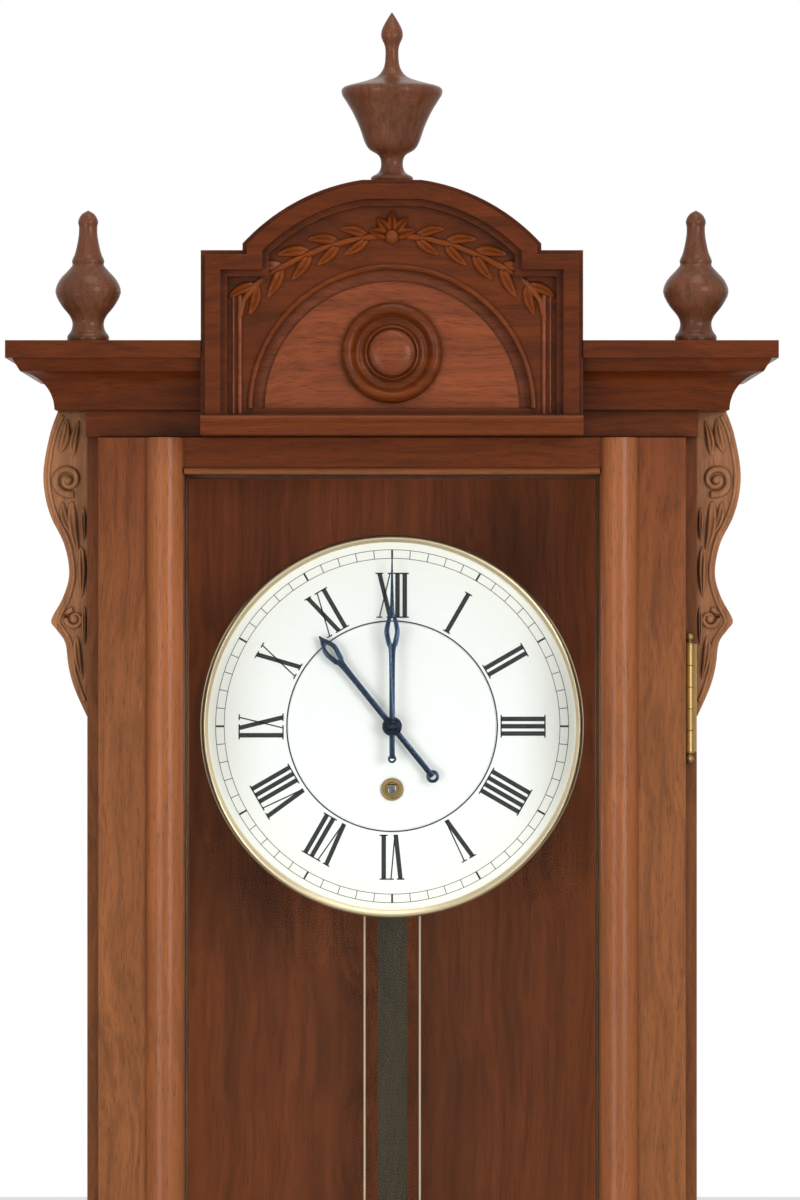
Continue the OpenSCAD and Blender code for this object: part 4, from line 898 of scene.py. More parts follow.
class REGULATOR_OT_carving(bpy.types.Operator):
    """Carves the spandrel's leaves, the ears' scrolls, the fillets and the console's shell"""

    bl_idname = "regulator.carving"
    bl_label = "Carving"

    def execute(self, context):
        self.roundel()
        self.spandrel_sprays()
        self.panel_trim()
        self.ears()
        self.console()
        return {"FINISHED"}

    def roundel(self):
        low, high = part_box("roundel")
        place = (0, high.y, (low.z + high.z) / 2)
        outer_roll = smooth_profile([(0.023, 0.0012), (0.0226, 0.0030), (0.0212, 0.0042), (0.0200, 0.0045),
                                     (0.0186, 0.0040), (0.0176, 0.0028)], 3)
        hollow = smooth_profile([(0.0170, 0.0020), (0.0162, 0.0011), (0.0148, 0.0009), (0.0134, 0.0014),
                                 (0.0126, 0.0024)], 3)
        inner_edge = [(0.0122, 0.0030), (0.0115, 0.0031), (0.0111, 0.0022), (0, 0.0022)]
        bm = bmesh.new()
        turned(bm, [(0, 0), (0.023, 0), *outer_roll, *hollow, *inner_edge], place, "Y", 96)
        piece("roundel_ring", bm, "red_across", "case", stands_for=("roundel",), smooth=60)
        boss = smooth_profile([(0.0106, 0.0026), (0.0101, 0.0040), (0.0084, 0.0052), (0.0058, 0.0058),
                               (0.0030, 0.0060), (0, 0.0060)], 4)
        bm = bmesh.new()
        turned(bm, [(0, 0.001), (0.0106, 0.001), *boss], place, "Y", 80)
        piece("roundel_boss", bm, "panel_wood", "case", smooth=60)

    def spandrel_sprays(self):
        face = SPANDREL_FACE
        bm = bmesh.new()
        # Pairs of leaves down from the crown: angle, length in mm, and distance from the round head's middle
        for angle, size, distance in ((79, 15, 79), (69, 16, 79.5), (59, 17, 80.5), (49, 18, 82.5),
                                      (39.5, 16, 83.5)):
            a = math.radians(angle)
            middle = Vector(on_lunette(distance, angle))
            along = Vector((math.sin(a), -math.cos(a)))
            out = Vector((math.cos(a), math.sin(a)))
            foot = middle - along * size * 0.30 * MM
            for side in (-1, 1):
                tip = middle + (along * 0.55 + out * side * 0.40) * size * MM
                leaf(bm, foot, tip, size * 0.36 * MM, 0.0026, face, 0.0010 * side)
        stem = [on_lunette(distance, angle) for angle, distance in (
            (88, 79), (79, 79), (69, 79.5), (59, 80.5), (49, 82.5), (42, 84), (36, 83.6), (31, 81), (27, 78))]
        rod(bm, [(x, face, z) for x, z in stem], [0.0016] * (len(stem) - 1) + [0.0007], 8)
        both_sides(bm)
        # The bud at the crown: a longer leaf stands upright between two pairs
        crown = (LUNETTE.x, LUNETTE.z + 78.5 * MM)
        for angle in (90, 52, 128, 14, 166):
            a = math.radians(angle)
            reach = 0.0118 if angle == 90 else 0.0112
            tip = (crown[0] + reach * math.cos(a), crown[1] + reach * math.sin(a))
            leaf(bm, crown, tip, 0.0062, 0.0040, face)
        turned(bm, [(0, -0.001), (0.0036, -0.001), (0.0036, 0.001), (0.0030, 0.0026), (0.0016, 0.0036),
                    (0, 0.0039)], (crown[0], face, crown[1]), "Y", 24)
        # The leaves take the lightened red walnut as a painted highlight
        piece("spandrel_leaves", bm, "carving_painted_highlight", "case", smooth=60)

    def panel_trim(self):
        """Two thin fillets inside the rim, and a bead round the head of the panel"""
        face = SPANDREL_FACE
        bm = bmesh.new()
        rod(bm, [(0.0693, face - 0.0004, z * MM) for z in (-53.5, -30, -10, -2, 0.6)], 0.0011, 10)
        rod(bm, [(0.0722, face - 0.0002, z * MM) for z in (-53.5, -30, -10, 3.6)], 0.0006, 8)
        both_sides(bm)
        piece("panel_fillets", bm, "panel_wood", "case", smooth=60)
        bm = bmesh.new()
        turned(bm, mm(looped([(63.2, -0.4), (66.0, -0.4), (66.0, 0.5), (65.5, 1.3), (64.6, 1.6), (63.7, 1.3),
                              (63.2, 0.5)])), (LUNETTE.x, face, LUNETTE.z), "Y", 160)
        bmesh.ops.bisect_plane(bm, geom=bm.verts[:] + bm.edges[:] + bm.faces[:], plane_co=(0, 0, LUNETTE.z),
                               plane_no=(0, 0, -1), clear_outer=True)
        bmesh.ops.holes_fill(bm, edges=[e for e in bm.edges if e.is_boundary])
        bmesh.ops.remove_doubles(bm, verts=bm.verts[:], dist=1e-6)
        bmesh.ops.recalc_face_normals(bm, faces=bm.faces[:])
        piece("panel_bead", bm, "red_across", "case", smooth=60)

    def ears(self):
        low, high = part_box("ear_brackets")
        # Face and top of a bracket, and the side of the carcass that it stands on
        face, top, edge = low.y, high.z, 0.141
        bm = bmesh.new()
        # A raised fillet that follows the sawn outline: reach from the carcass and depth below the cornice
        sawn = smooth_profile([(11.5, 2), (15.2, 11), (18.0, 26), (17.6, 37), (14.6, 48), (9.3, 59),
                               (6.7, 70), (6.7, 78.5), (9.4, 88), (13.4, 96.4), (11.6, 100.5), (7.9, 107),
                               (6.4, 118), (3.6, 128), (1.2, 134)], 4)
        rod(bm, [(edge + x * MM, face, top - z * MM) for x, z in sawn], 0.0009, 8)
        upper, lower = (edge + 0.0092, top - 0.0315), (edge + 0.0062, top - 0.0960)
        for centre, radius, start, sweep, thick in ((upper, 0.0070, 250, 600, 0.0019),
                                                    (lower, 0.0046, 80, -560, 0.0014)):
            path, radii = volute(centre, radius, start, sweep, face - 0.0003, thick)
            rod(bm, path, radii, 8)
            turned(bm, [(0, -0.001), (0.0020, -0.001), (0.0020, 0.0010), (0.0014, 0.0022), (0, 0.0026)],
                   (centre[0], face, centre[1]), "Y", 16)
        # Leaves that link the scrolls and run out below: root, tip, width and bend, all in mm
        for root, tip, wide, bend in (
                ((13.0, 19.0), (9.5, 3.0), 5.0, 1.0), ((7.2, 20.5), (4.0, 4.0), 4.6, -0.8),
                ((7.5, 41.0), (4.2, 66.0), 5.4, 1.2), ((12.0, 41.5), (6.6, 58.0), 4.2, 1.4),
                ((3.2, 62.0), (3.0, 86.0), 4.4, -0.6), ((2.2, 44.0), (1.9, 60.0), 2.8, 0.0),
                ((5.4, 103.5), (2.6, 124.0), 4.4, 0.6), ((1.8, 90.0), (1.6, 108.0), 2.6, 0.0)):
            start, end = ((edge + x * MM, top - z * MM) for x, z in (root, tip))
            leaf(bm, start, end, wide * MM, 0.0030, face, bend * MM)
        both_sides(bm)
        piece("ear_scrolls", bm, "ear_wood", "case", smooth=60)

    def console(self):
        low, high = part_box("base_console")
        tall, deep, top = high.z - low.z, high.y - low.y, high.z
        # Share of the height from the top, and share of the half width
        sawn = smooth_profile([(0, 1), (0.06, 0.96), (0.16, 0.8), (0.34, 0.7), (0.52, 0.62), (0.66, 0.42),
                               (0.8, 0.24), (0.92, 0.16), (1, 0.14)], 4)

        def front(z):
            """The y of the console's carved face at a height."""
            down = min(max((top - z) / tall, 0), 1)
            for (a, wide_a), (b, wide_b) in zip(sawn, sawn[1:]):
                if down <= b:
                    break
            share = wide_a + (wide_b - wide_a) * (down - a) / (b - a)
            return high.y - (0.25 + 0.75 * share) * deep

        # A shell of nine gadroons over a boss, husks that hang below it, and a volute in each upper corner
        bm = bmesh.new()
        middle = Vector((0, top - 0.60 * tall))
        for i in range(-4, 5):
            a = math.radians(90 + 16.5 * i)
            way = Vector((math.cos(a), math.sin(a)))
            reach = 0.50 * tall * (1 - 0.035 * abs(i))
            leaf(bm, middle + way * reach, middle + way * 0.0035, 0.0125, 0.0052, front)
        turned(bm, [(0, -0.008), (0.0062, -0.008), (0.0062, 0.0008), (0.0050, 0.0030), (0.0026, 0.0040),
                    (0, 0.0042)], (0, front(middle.y), middle.y), "Y", 32)
        for drop, wide in ((0.0060, 0.0072), (0.0140, 0.0060), (0.0210, 0.0048)):
            leaf(bm, (0, middle.y - drop), (0, middle.y - drop - 0.0100), wide, 0.0038, front)
        for side in (-1, 1):
            centre = (side * high.x * 0.80, top - 0.0105)
            path, radii = volute(centre, 0.0068, 90 - side * 60, -side * 560, front, 0.0018)
            rod(bm, path, radii, 8)
            leaf(bm, (centre[0] - side * 0.004, centre[1] - 0.0085), (side * high.x * 0.50, middle.y + 0.004),
                 0.0058, 0.0026, front, side * 0.0024)
        piece("console_shell", bm, "walnut_across", "case", smooth=60)


class REGULATOR_OT_door_fittings(bpy.types.Operator):
    """Fits the keyhole plate, the lock's screws, the hinges' finials, the sight and the glazing beads"""

    bl_idname = "regulator.door_fittings"
    bl_label = "Door fittings"

    def execute(self, context):
        self.keyhole_plate()
        self.lock_screws()
        self.hinge_finials()
        self.sight_beads()
        self.glazing_beads()
        return {"FINISHED"}

    def keyhole_plate(self):
        """A pointed oval with a pierced keyhole, and a screw at each end"""
        key_low, key_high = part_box("door_key")
        x, z = (key_low.x + key_high.x) / 2, (key_low.z + key_high.z) / 2
        middle, front = z - 0.002, DOOR_FACE - 0.0009
        oval = [(x + 0.0085 * math.cos(a) * (1 - 0.16 * abs(math.sin(a)) ** 3), middle + 0.0180 * math.sin(a))
                for a in (2 * math.pi * i / 40 for i in range(40))]
        foot = [(x - 0.0014, z - 0.0085), (x + 0.0014, z - 0.0085)]
        bm = bmesh.new()
        plate(bm, oval, DOOR_FACE + 0.0003, front, [arc_points((x, z), 0.0030, -60, 240, 14) + foot])
        bevelled(bm, 0.0003, 2, 40)
        for side in (-1, 1):
            screw(bm, (x, front, middle + side * 0.0145), (0, -1, 0), 0.0011, 0.4 * side)
        piece("keyhole_plate", bm, "brass_polished", "door")

    def lock_screws(self):
        low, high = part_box("door_lock_case")
        x, z = (low.x + high.x) / 2, (low.z + high.z) / 2
        bm = bmesh.new()
        for side in (-1, 1):
            screw(bm, (x, high.y, z + side * 0.0135), (0, 1, 0), 0.0021, side)
        piece("lock_screws", bm, "brass_old", "door", smooth=50)

    def hinge_finials(self):
        """A turned finial on both ends of each hinge's pin"""
        pin_x, pin_y, _ = AXES["door_swing"]
        # Heights of the hinges' middles, and half the length of a pin
        upper, lower, half_pin = -0.1835, -0.7025, 0.025
        finial = smooth_profile([(0, -0.0004), (0.0019, -0.0003), (0.0021, 0.0004), (0.0013, 0.0009),
                                 (0.0011, 0.0014), (0.0019, 0.0025), (0.0019, 0.0037), (0.0011, 0.0049),
                                 (0, 0.0053)], 3)
        bm = bmesh.new()
        for level in (upper, lower):
            for side, axis in ((-1, "-Z"), (1, "Z")):
                turned(bm, finial, (pin_x, pin_y, level + side * half_pin), axis, 20)
        piece("hinge_finials", bm, "brass_old", "case", smooth=60)

    def sight_beads(self):
        """A light bead under the top rail and one over the bottom rail, at the sight opening"""
        bead_r = 0.0016
        bm = bmesh.new()
        for z in (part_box("door_top_rail")[0].z + bead_r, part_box("door_bottom_rail")[1].z - bead_r):
            rod(bm, [(x * SIGHT_HALF, DOOR_FACE - 0.0002, z) for x in (-1, -0.5, 0, 0.5, 1)], bead_r, 12)
        piece("sight_beads", bm, "light_across", "door", smooth=60)

    def glazing_beads(self):
        """Four beads that hold the pane from behind"""
        low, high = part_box("door_glass")
        half, deep, side = 0.0022, 0.0036, SIGHT_HALF + 0.0005
        back = high.y + deep
        bm = bmesh.new()
        for z in (low.z + 0.0045, high.z - 0.0045):
            bar(bm, (-SIGHT_HALF - half, high.y, z - half), (SIGHT_HALF + half, back, z + half))
        for x in (-side, side):
            bar(bm, (x - half, high.y, low.z + 0.003 - half), (x + half, back, high.z - 0.003 + half))
        bevelled(bm, 0.0012, 3)
        piece("glazing_beads", bm, "walnut_up", "door")


def hand_outline(stations):
    """Both sides of a hand from its stations in mm (distance, half width), foot to tip."""
    run = smooth_profile(stations, 5)
    return [(w * MM, d * MM) for d, w in run] + [(-w * MM, d * MM) for d, w in reversed(run)]


class REGULATOR_OT_hands(bpy.types.Operator):
    """Cuts the pierced blued hands, and fits their collet and the winding square's"""

    bl_idname = "regulator.hands"
    bl_label = "Hands"

    def execute(self, context):
        # Reach of the tip, distance of the widest place, tail's length, and radii of its disc and the boss
        self.hand("minute_hand", "center_arbor", (78, 45.24, 17, 2, 4.0), 0)
        self.hand("hour_hand", "hour_pipe", (54, 46.5, 33, 3, 4.6), HOUR_ANGLE)
        self.hand_collet()
        self.winding_square()
        return {"FINISHED"}

    def hand(self, node, body, measures, degrees):
        """One hand from its measures in mm, turned left from the upright"""
        reach, belly, tail, disc, boss = measures
        low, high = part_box(node)
        shaft, wide, nose = 1.3, 3.6, min(reach - belly, 12.5)
        shape = hand_outline([(disc - tail, shaft), (0, shaft), (belly - 12.5, 0.4 * wide),
                              (belly - 7, 0.72 * wide), (belly - 1, wide), (belly + 0.36 * nose, 0.68 * wide),
                              (belly + 0.72 * nose, 0.3 * wide), (reach, 0.3)])
        hole = hand_outline([(belly - 6.6, 0.15), (belly - 4.4, 0.2 * wide), (belly - 1, 0.36 * wide),
                             (belly + 0.24 * nose, 0.2 * wide), (belly + 0.42 * nose, 0.15)])
        bm = bmesh.new()
        plate(bm, shape, high.y, low.y, [hole])
        bevelled(bm, 0.0003, 2, 45)
        turned(bm, mm(looped([(disc * 0.5, 0.1), (disc, 0.1), (disc, 0.7), (disc - 0.3, 0.9),
                              (disc * 0.5, 0.9)])), (0, high.y, (disc - tail) * MM), "Y", 40)
        turned(bm, mm(looped([(2.1, -0.2), (boss, -0.2), (boss, 1.0), (boss - 0.5, 1.4), (2.1, 1.4)])),
               (0, high.y, 0), "Y", 40)
        turn = Matrix.Rotation(math.radians(-degrees), 4, "Y")
        placed(bm, Matrix.Translation((CENTRE.x, 0, CENTRE.z)) @ turn)
        piece(node + "_cut", bm, "blued", body, stands_for=(node,))

    def hand_collet(self):
        """The turned cap on the minute hand, and the tapered pin through the arbor"""
        front = -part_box("minute_hand")[0].y
        bm = bmesh.new()
        turned(bm, [(0, front - 0.0002), (0.0034, front - 0.0002), (0.0034, front + 0.0003),
                    (0.0026, front + 0.0009), (0.0015, front + 0.0012), (0.0013, front + 0.0019),
                    (0, front + 0.0021)], (CENTRE.x, 0, CENTRE.z), "Y", 32)
        rod(bm, [(-0.0036, -front - 0.0011, CENTRE.z + 0.0004), (0.0042, -front - 0.0011, CENTRE.z - 0.0004)],
            [0.00032, 0.00045], 8)
        piece("hand_collet", bm, "blued", "center_arbor", smooth=60)

    def winding_square(self):
        """The brass collet in the dial, and the arbor's squared end with its corners taken off at the tip"""
        bm = bmesh.new()
        ring(bm, 0.00455, 0.0053, -DIAL_FACE - 0.0004, -DIAL_FACE + 0.0004, WINDING, 48)
        piece("winding_collet", bm, "brass_old", "case", smooth=60)
        half, tip = 0.00206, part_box("winding_drum")[0].y
        bm = bmesh.new()
        bar(bm, (-half, tip - 0.00006, -half), (half, tip + 0.0200, half))
        bevelled(bm, 0.00035, 2)
        placed(bm, Matrix.Translation(WINDING))
        piece("winding_square", bm, "steel_dark", "drum")


class REGULATOR_OT_movement(bpy.types.Operator):
    """Fits the pillars' washers and screws, the bracket's screws and the oil sinks"""

    bl_idname = "regulator.movement"
    bl_label = "Movement"

    def execute(self, context):
        self.pillar_screws()
        self.bracket_screws()
        self.oil_sinks()
        return {"FINISHED"}

    def pillar_screws(self):
        front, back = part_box("front_plate"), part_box("back_plate")
        pillar_x, inset = 0.035, 0.012
        washer = [(0, -0.0003), (0.0042, -0.0003), (0.0042, 0.0004), (0.0038, 0.0007), (0, 0.0007)]
        bm = bmesh.new()
        for x in (-pillar_x, pillar_x):
            for z in (front[0].z + inset, front[1].z - inset):
                for y, out, axis in ((front[0].y, -1, "Y"), (back[1].y, 1, "-Y")):
                    turned(bm, washer, (x, y, z), axis, 28)
                    screw(bm, (x, y + out * 0.0009, z), (0, out, 0), 0.0028, x * 30)
        piece("pillar_screws", bm, "steel_blue", "case", smooth=50)

    def bracket_screws(self):
        """Four into the back board, two from each side into the plates' feet, and two on the cock"""
        low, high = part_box("movement_bracket")
        cock_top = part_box("suspension_cock")[1].z
        bm = bmesh.new()
        for side in (-1, 1):
            for z in (low.z + 0.008, high.z - 0.011):
                screw(bm, (side * 0.025, -0.0140, z), (0, -1, 0), 0.0034, z * 40)
            for z in (-0.160, -0.222):
                screw(bm, (side * 0.032, -0.046, z), (side, 0, 0), 0.0036, z * 70)
        for x in (-0.0295, 0.0295):
            screw(bm, (x, -0.040, cock_top), (0, 0, 1), 0.0026, x * 50)
        piece("bracket_screws", bm, "steel", "case", smooth=50)

    def oil_sinks(self):
        """A polished sink round each front pivot over the centre wheel"""
        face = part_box("front_plate")[0].y
        sink = looped([(0.0004, 0.0000), (0.0016, 0.0005), (0.0021, 0.0005), (0.0021, -0.0002),
                       (0.0004, -0.0002)])
        bm = bmesh.new()
        for pivot in ("escape_turn", "third_turn", "pallet_rock"):
            x, _, z = AXES[pivot]
            turned(bm, sink, (x, face, z), "Y", 32)
        piece("oil_sinks", bm, "brass_polished", "case", smooth=60)


def bob_dome(r):
    """How far the bob's face stands out from its middle plane, at a radius."""
    rise = BOB_HALF - BOB_EDGE
    lens = (BOB_R ** 2 + rise ** 2) / (2 * rise)
    return BOB_HALF - lens + math.sqrt(lens ** 2 - r ** 2)


class REGULATOR_OT_pendulum(bpy.types.Operator):
    """Dresses the pendulum: the bob and its rings, the ferrules, the knurled nut and the spring's two strips
    """

    bl_idname = "regulator.pendulum"
    bl_label = "Pendulum"

    def execute(self, context):
        low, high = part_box("pendulum_bob")
        centre = Vector(((low.x + high.x) / 2, (low.y + high.y) / 2, (low.z + high.z) / 2))
        self.bob_lens(centre)
        self.bob_rings(centre)
        self.ferrules(centre)
        self.nut_knurl()
        self.spring()
        return {"FINISHED"}

    def bob_lens(self, centre):
        """Brass sheet spun over lead, and slotted for the rod and its screw"""
        front_side = [(r, bob_dome(r)) for r in (BOB_R * math.sin(math.pi / 2 * i / 28) for i in range(29))]
        rim = [(BOB_R + 0.0002, BOB_EDGE * 0.4), (BOB_R + 0.0002, -BOB_EDGE * 0.4)]
        bob = bmesh.new()
        turned(bob, front_side + rim + [(r, -y) for r, y in reversed(front_side)], (0, 0, 0), "Y", 180)
        placed(bob, Matrix.Translation(centre))
        rod_low, rod_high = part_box("pendulum_rod")
        deep = (rod_high.y - rod_low.y) / 2 - 0.0008 + 0.00015
        foot = centre.z - BOB_R + 0.008
        slot = bmesh.new()
        bar(slot, (-0.00715, centre.y - deep, foot), (0.00715, centre.y + deep, centre.z + 0.080))
        piece("bob_lens", cut_away(bob, slot), "brass_polished", "bob",
              stands_for=("pendulum_bob",), smooth=50)

    def bob_rings(self, centre):
        """A boss ring and an outer ring on the bob's face, laid on its dome"""
        bm = bmesh.new()
        # Radius, half width and height
        for r, w, up in ((0.0160, 0.0011, 0.0007), (0.0555, 0.0014, 0.0008)):
            turned(bm, looped([(r - w, bob_dome(r - w) - 0.0004), (r + w, bob_dome(r + w) - 0.0004),
                               (r + w, bob_dome(r + w) + up * 0.3), (r + w * 0.5, bob_dome(r) + up * 0.85),
                               (r, bob_dome(r) + up), (r - w * 0.5, bob_dome(r) + up * 0.85),
                               (r - w, bob_dome(r - w) + up * 0.3)]), centre, "Y", 128)
        piece("bob_rings", bm, "brass_polished", "bob", smooth=60)

    def ferrules(self, centre):
        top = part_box("pendulum_rod")[1].z
        half_x, half_y = 0.0076, 0.0041
        bm = bmesh.new()
        for z, tall in ((top - 0.004, 0.022), (centre.z + 0.070, 0.012)):
            bar(bm, (-half_x, centre.y - half_y, z - tall), (half_x, centre.y + half_y, z))
        bevelled(bm, 0.0006, 2)
        for z in (top - 0.010, top - 0.020):
            screw(bm, (0, centre.y - half_y, z), (0, -1, 0), 0.0019, z * 50)
        piece("rod_ferrules", bm, "brass_polished", "pendulum")

    def nut_knurl(self):
        low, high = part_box("rating_nut")
        middle_x, middle_y, ridges, reach = (low.x + high.x) / 2, (low.y + high.y) / 2, 40, 0.00795
        bm = bmesh.new()
        for a in (2 * math.pi * i / ridges for i in range(ridges)):
            x, y = middle_x + reach * math.cos(a), middle_y + reach * math.sin(a)
            rod(bm, [(x, y, low.z + 0.0012), (x, y, high.z - 0.0012)], 0.00042, 6)
        turned(bm, looped([(0.0022, 0), (0.0052, 0), (0.0052, 0.0005), (0.0046, 0.0008), (0.0022, 0.0008)]),
               (middle_x, middle_y, high.z - 0.0002), "Z", 40)
        piece("nut_knurl", bm, "brass_polished", "nut", smooth=50)

    def spring(self):
        """Two strips between the cock and the rod, cut into short lengths along their height, and the brass
        clip at their foot
        """
        low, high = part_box("suspension_spring")
        y, rod_top = (low.y + high.y) / 2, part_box("pendulum_rod")[1].z
        bm = bmesh.new()
        for middle in (y - 0.0022, y + 0.0022):
            made = bar(bm, (-0.00014, middle - 0.0014, low.z), (0.00014, middle + 0.0014, high.z))
            edges = {e for v in made for e in v.link_edges}
            upright = [e for e in edges if abs(e.verts[0].co.z - e.verts[1].co.z) > 0.001]
            bmesh.ops.subdivide_edges(bm, edges=upright, cuts=16, use_grid_fill=False)
        strips = piece("spring_strips", bm, "blued", stands_for=("suspension_spring",))
        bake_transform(strips)
        bm = bmesh.new()
        bar(bm, (-0.0016, y - 0.0046, rod_top - 0.0004), (0.0016, y + 0.0046, rod_top + 0.0040))
        bevelled(bm, 0.0004, 2)
        piece("spring_clip", bm, "brass_polished", "pendulum")


class REGULATOR_OT_weight_and_line(bpy.types.Operator):
    """Turns the weight and its pulley, winds the line on the drum and hangs its two runs"""

    bl_idname = "regulator.weight_and_line"
    bl_label = "Weight and line"

    def execute(self, context):
        low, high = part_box("driving_weight")
        x, y = (low.x + high.x) / 2, (low.y + high.y) / 2
        radius, tall = (high.x - low.x) / 2, 0.110
        self.weight_shell(x, y, low.z, radius, tall)
        self.pulley_wheel(x, y)
        self.weight_bands(x, y, low.z, radius, tall)
        self.wound_line(y)
        self.hanging_runs(y)
        return {"FINISHED"}

    def weight_shell(self, x, y, foot, radius, tall):
        """The brass shell, its stem and the stirrup that holds the pulley's pin"""
        top = foot + tall
        lower = smooth_profile([(radius - 0.0035, 0), (radius - 0.0012, 0.0006), (radius, 0.003)], 6)
        upper = smooth_profile([(radius, tall - 0.003), (radius - 0.0012, tall - 0.0006),
                                (radius - 0.0035, tall)], 6)
        bm = bmesh.new()
        turned(bm, [(0, 0), *lower, *upper, (0, tall + 0.0002)], (x, y, foot), "Z", 144)
        turned(bm, [(0, -0.001), (0.002, -0.001), (0.002, 0.0055), (0, 0.0055)], (x, y, top), "Z", 32)
        half, deep, thick = 0.003, 0.0043, 0.0015
        bar(bm, (-half, y - deep, top + 0.004), (half, y + deep, top + 0.007))
        cheek = [(-half, top + 0.004), (half, top + 0.004)] + arc_points((0, PIN_Z), half, 0, 180, 16)
        for back in (y + deep, y - deep + thick):
            plate(bm, cheek, back, back - thick)
        turned(bm, mm([(0, -4.7), (0.9, -4.7), (0.9, 4.7), (0, 4.7)]), (x, y, PIN_Z), "Y", 24)
        for side in ("Y", "-Y"):
            turned(bm, mm([(0, 4.4), (1.7, 4.4), (1.7, 5.0), (1.1, 5.5), (0, 5.6)]), (x, y, PIN_Z), side, 20)
        piece("weight_shell", bm, "brass_polished", "weight", stands_for=("driving_weight",),
              smooth=45)

    def pulley_wheel(self, x, y):
        """A grooved rim and a hub on a web with six holes"""
        rim = [(10.8, -2.1), (11.3, -2.5), (14.5, -2.5), (14.8, -2.2), (14.8, -1.9), (12.4, -0.9),
               (12.4, 0.9), (14.8, 1.9), (14.8, 2.2), (14.5, 2.5), (11.3, 2.5), (10.8, 2.1)]
        hub = [(1.1, -2.5), (3.2, -2.5), (3.6, -2.1), (3.6, 2.1), (3.2, 2.5), (1.1, 2.5)]
        bm = bmesh.new()
        turned(bm, mm(looped(rim)), (0, 0, 0), "Y", 96)
        turned(bm, mm(looped(hub)), (0, 0, 0), "Y", 48)
        holes = [arc_points((0.0072 * math.cos(a), 0.0072 * math.sin(a)), 0.0024, 0, 345, 23)
                 for a in (math.pi / 3 * i for i in range(6))]
        bore = arc_points((0, 0), 0.002, 0, 345, 23)
        plate(bm, arc_points((0, 0), 0.0112, 0, 357, 119), 0.0008, -0.0008, [*holes, bore])
        placed(bm, Matrix.Translation((x, y, PIN_Z)))
        piece("pulley_wheel", bm, "brass_wheel", "pulley", stands_for=("weight_pulley",), smooth=50)

    def weight_bands(self, x, y, foot, radius, tall):
        """Two turned bands at each end, a broad and a narrow one, and the moulded cap"""
        broad, narrow = 0.0035, 0.0012
        bm = bmesh.new()
        for up, wide in ((0.004, broad), (0.0115, narrow), (tall - 0.004, broad), (tall - 0.0115, narrow)):
            band = smooth_profile([(radius - 0.0004, -wide / 2), (radius + 0.0002, -wide / 2),
                                   (radius + 0.0006, -wide * 0.28), (radius + 0.0008, 0),
                                   (radius + 0.0006, wide * 0.28), (radius + 0.0002, wide / 2),
                                   (radius - 0.0004, wide / 2)], 2)
            turned(bm, looped(band), (x, y, foot + up), "Z", 96)
        turned(bm, smooth_profile([(0, -0.0005), (0.012, -0.0005), (0.0118, 0.0006), (0.0090, 0.0012),
                                   (0.0055, 0.0016), (0.0042, 0.0030), (0.0030, 0.0042), (0, 0.0044)], 3),
               (x, y, foot + tall), "Z", 64)
        piece("weight_bands", bm, "brass_polished", "weight", smooth=60)

    def wound_line(self, y):
        turns, pitch, steps = 7, 0.00118, 40
        path = []
        for turn in (i / steps for i in range(turns * steps + 1)):
            a = math.pi + 2 * math.pi * turn
            x, z = WINDING.x + LINE_RUN * math.cos(a), WINDING.z + LINE_RUN * math.sin(a)
            path.append((x, y - pitch * turn, z))
        bm = bmesh.new()
        rod(bm, path, GUT_R, 6)
        piece("wound_line", bm, "gut", "drum", smooth=60)

    def hanging_runs(self, y):
        """The left run comes off the drum and rounds the pulley, and the right one ends on the hook bar"""
        hook, parts = (LINE_RUN, -0.2500), 40
        hook_top = hook[1] - 0.0017
        left = [(-LINE_RUN, y, WINDING.z - i * (WINDING.z - PIN_Z) / parts) for i in range(parts)]
        left += [(x, y, z) for x, z in arc_points((0, PIN_Z), LINE_RUN, 180, 360, 24)]
        right = [(LINE_RUN, y, PIN_Z + i * (hook_top - PIN_Z) / parts) for i in range(parts + 1)]
        for name, path, top, stands_for in (("hanging_line", left, WINDING.z, ("weight_line",)),
                                            ("hook_line", right, hook_top, ())):
            bm = bmesh.new()
            rod(bm, path, GUT_R, 8)
            line = piece(name, bm, "gut", stands_for=stands_for, smooth=60)
            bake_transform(line)
        # A loop over the bar, whipped below it
        bm = bmesh.new()
        rod(bm, [(x, y, z) for x, z in arc_points(hook, 0.0021, -90, 255, 23)], GUT_R, 8, closed=True)
        rod(bm, [(LINE_RUN + 0.0009 * math.cos(a), y + 0.0009 * math.sin(a), hook_top - 0.0008 - 0.00013 * a)
                 for a in (2 * math.pi * i / 12 for i in range(61))], 0.0004, 6)
        piece("line_knot", bm, "gut", "case", smooth=60)


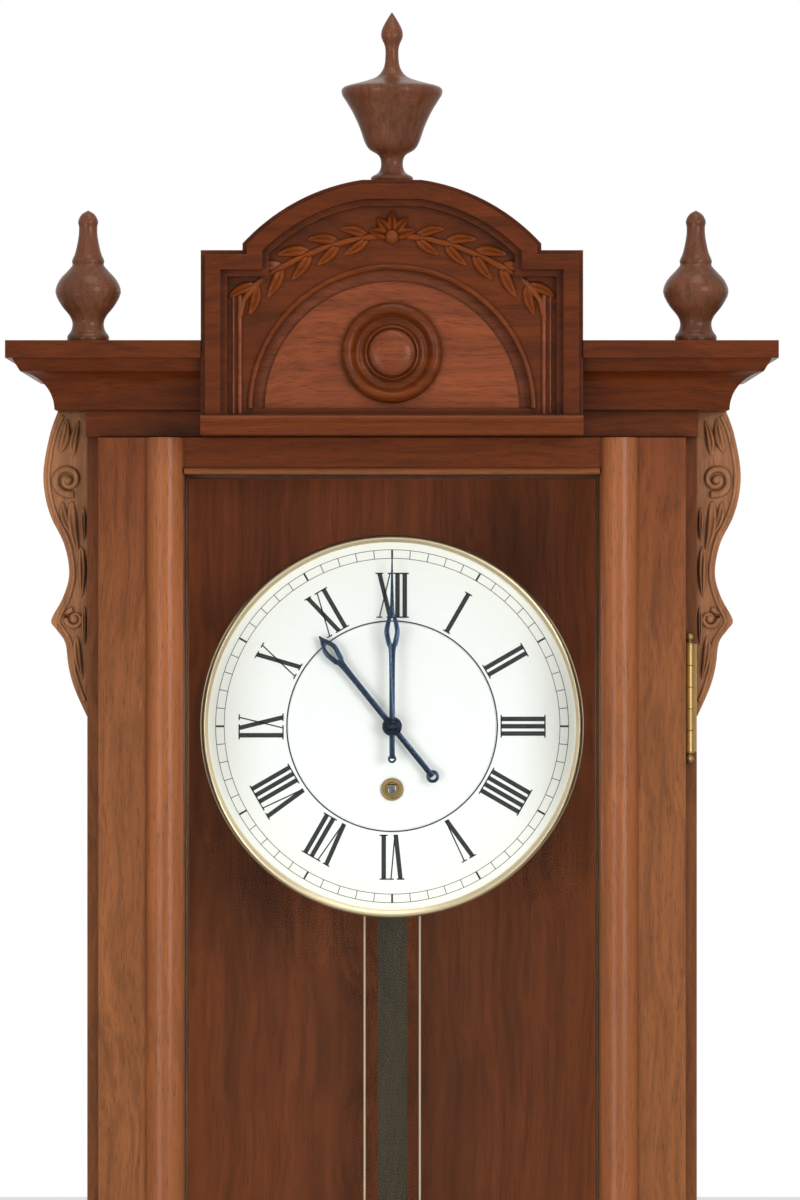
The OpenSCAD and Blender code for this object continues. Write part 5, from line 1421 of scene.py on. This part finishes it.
class REGULATOR_OT_beat_scale(bpy.types.Operator):
    """Marks the beat scale, and fits its screws and the hanger's screws"""

    bl_idname = "regulator.beat_scale"
    bl_label = "Beat scale"

    def execute(self, context):
        low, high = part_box("beat_plate")
        face, middle = low.y, (low.z + high.z) / 2
        self.beat_marks(face, middle)
        bm = bmesh.new()
        for x in (low.x + 0.004, high.x - 0.004):
            screw(bm, (x, face, middle), (0, -1, 0), 0.0021, x * 60)
        piece("beat_screws", bm, "brass_polished", "case", smooth=50)
        self.hanger_screws()
        return {"FINISHED"}

    def beat_marks(self, face, middle):
        """A mark for each tenth of a degree, long at each half, over two arcs about the suspension"""
        reach, tenths = 0.656, range(-20, 21)

        def along(degrees, drop):
            """A point (x, z) of the scale's arc."""
            a = math.radians(degrees)
            return reach * math.sin(a), middle - 0.0015 + drop + reach * (1 - math.cos(a))

        bm = bmesh.new()
        for i in tenths:
            x, z = along(i * 0.1, 0)
            tall = 0.0052 if i % 5 == 0 else 0.0030
            made = bar(bm, (-0.00011, face - 0.00008, 0), (0.00011, face + 0.0001, tall))
            lean = Matrix.Rotation(math.radians(-i * 0.1), 4, "Y")
            placed(bm, Matrix.Translation((x, 0, z)) @ lean, made)
        for drop in (0.0, -0.0006):
            rod(bm, [(x, face, z) for x, z in (along(i * 0.1, drop) for i in tenths)], 0.00012, 6)
        piece("beat_marks", bm, "ink", "case", smooth=60)

    def hanger_screws(self):
        low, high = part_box("hanger_plate")
        bm = bmesh.new()
        for x in (-0.015, 0.015):
            for z in (low.z + 0.008, low.z + 0.026):
                screw(bm, (x, high.y - 0.0026, z), (0, 1, 0), 0.0036, x * 60 + z * 90)
        piece("hanger_screws", bm, "steel", "case", smooth=50)


PIECES = (
    REGULATOR_OT_stage,
    REGULATOR_OT_case_wood,
    REGULATOR_OT_metal_and_glass,
    REGULATOR_OT_dial_marks,
    REGULATOR_OT_hands,
    REGULATOR_OT_carving,
    REGULATOR_OT_door_fittings,
    REGULATOR_OT_movement,
    REGULATOR_OT_pendulum,
    REGULATOR_OT_weight_and_line,
    REGULATOR_OT_beat_scale,
)


class REGULATOR_PT_panel(bpy.types.Panel):
    """Lists the pieces in the 3D view's sidebar"""

    bl_idname = "REGULATOR_PT_panel"
    bl_label = "Regulator"
    bl_space_type = "VIEW_3D"
    bl_region_type = "UI"
    bl_category = "Regulator"

    def draw(self, context):
        for operator in PIECES:
            self.layout.operator(operator.bl_idname)
        for group in (context.scene.regulator_sizes, context.scene.regulator_colours):
            for key in group.__annotations__:
                self.layout.prop(group, key)


CLASSES = (RegulatorSizes, RegulatorColours, *PIECES, REGULATOR_PT_panel)


def register():
    for cls in CLASSES:
        bpy.utils.register_class(cls)
    bpy.types.Scene.regulator_sizes = bpy.props.PointerProperty(type=RegulatorSizes)
    bpy.types.Scene.regulator_colours = bpy.props.PointerProperty(type=RegulatorColours)


def unregister():
    del bpy.types.Scene.regulator_colours
    del bpy.types.Scene.regulator_sizes
    for cls in reversed(CLASSES):
        bpy.utils.unregister_class(cls)


def main():
    register()
    for operator in PIECES:
        group, name = operator.bl_idname.split(".")
        getattr(getattr(bpy.ops, group), name)()


if __name__ == "__main__":
    main()
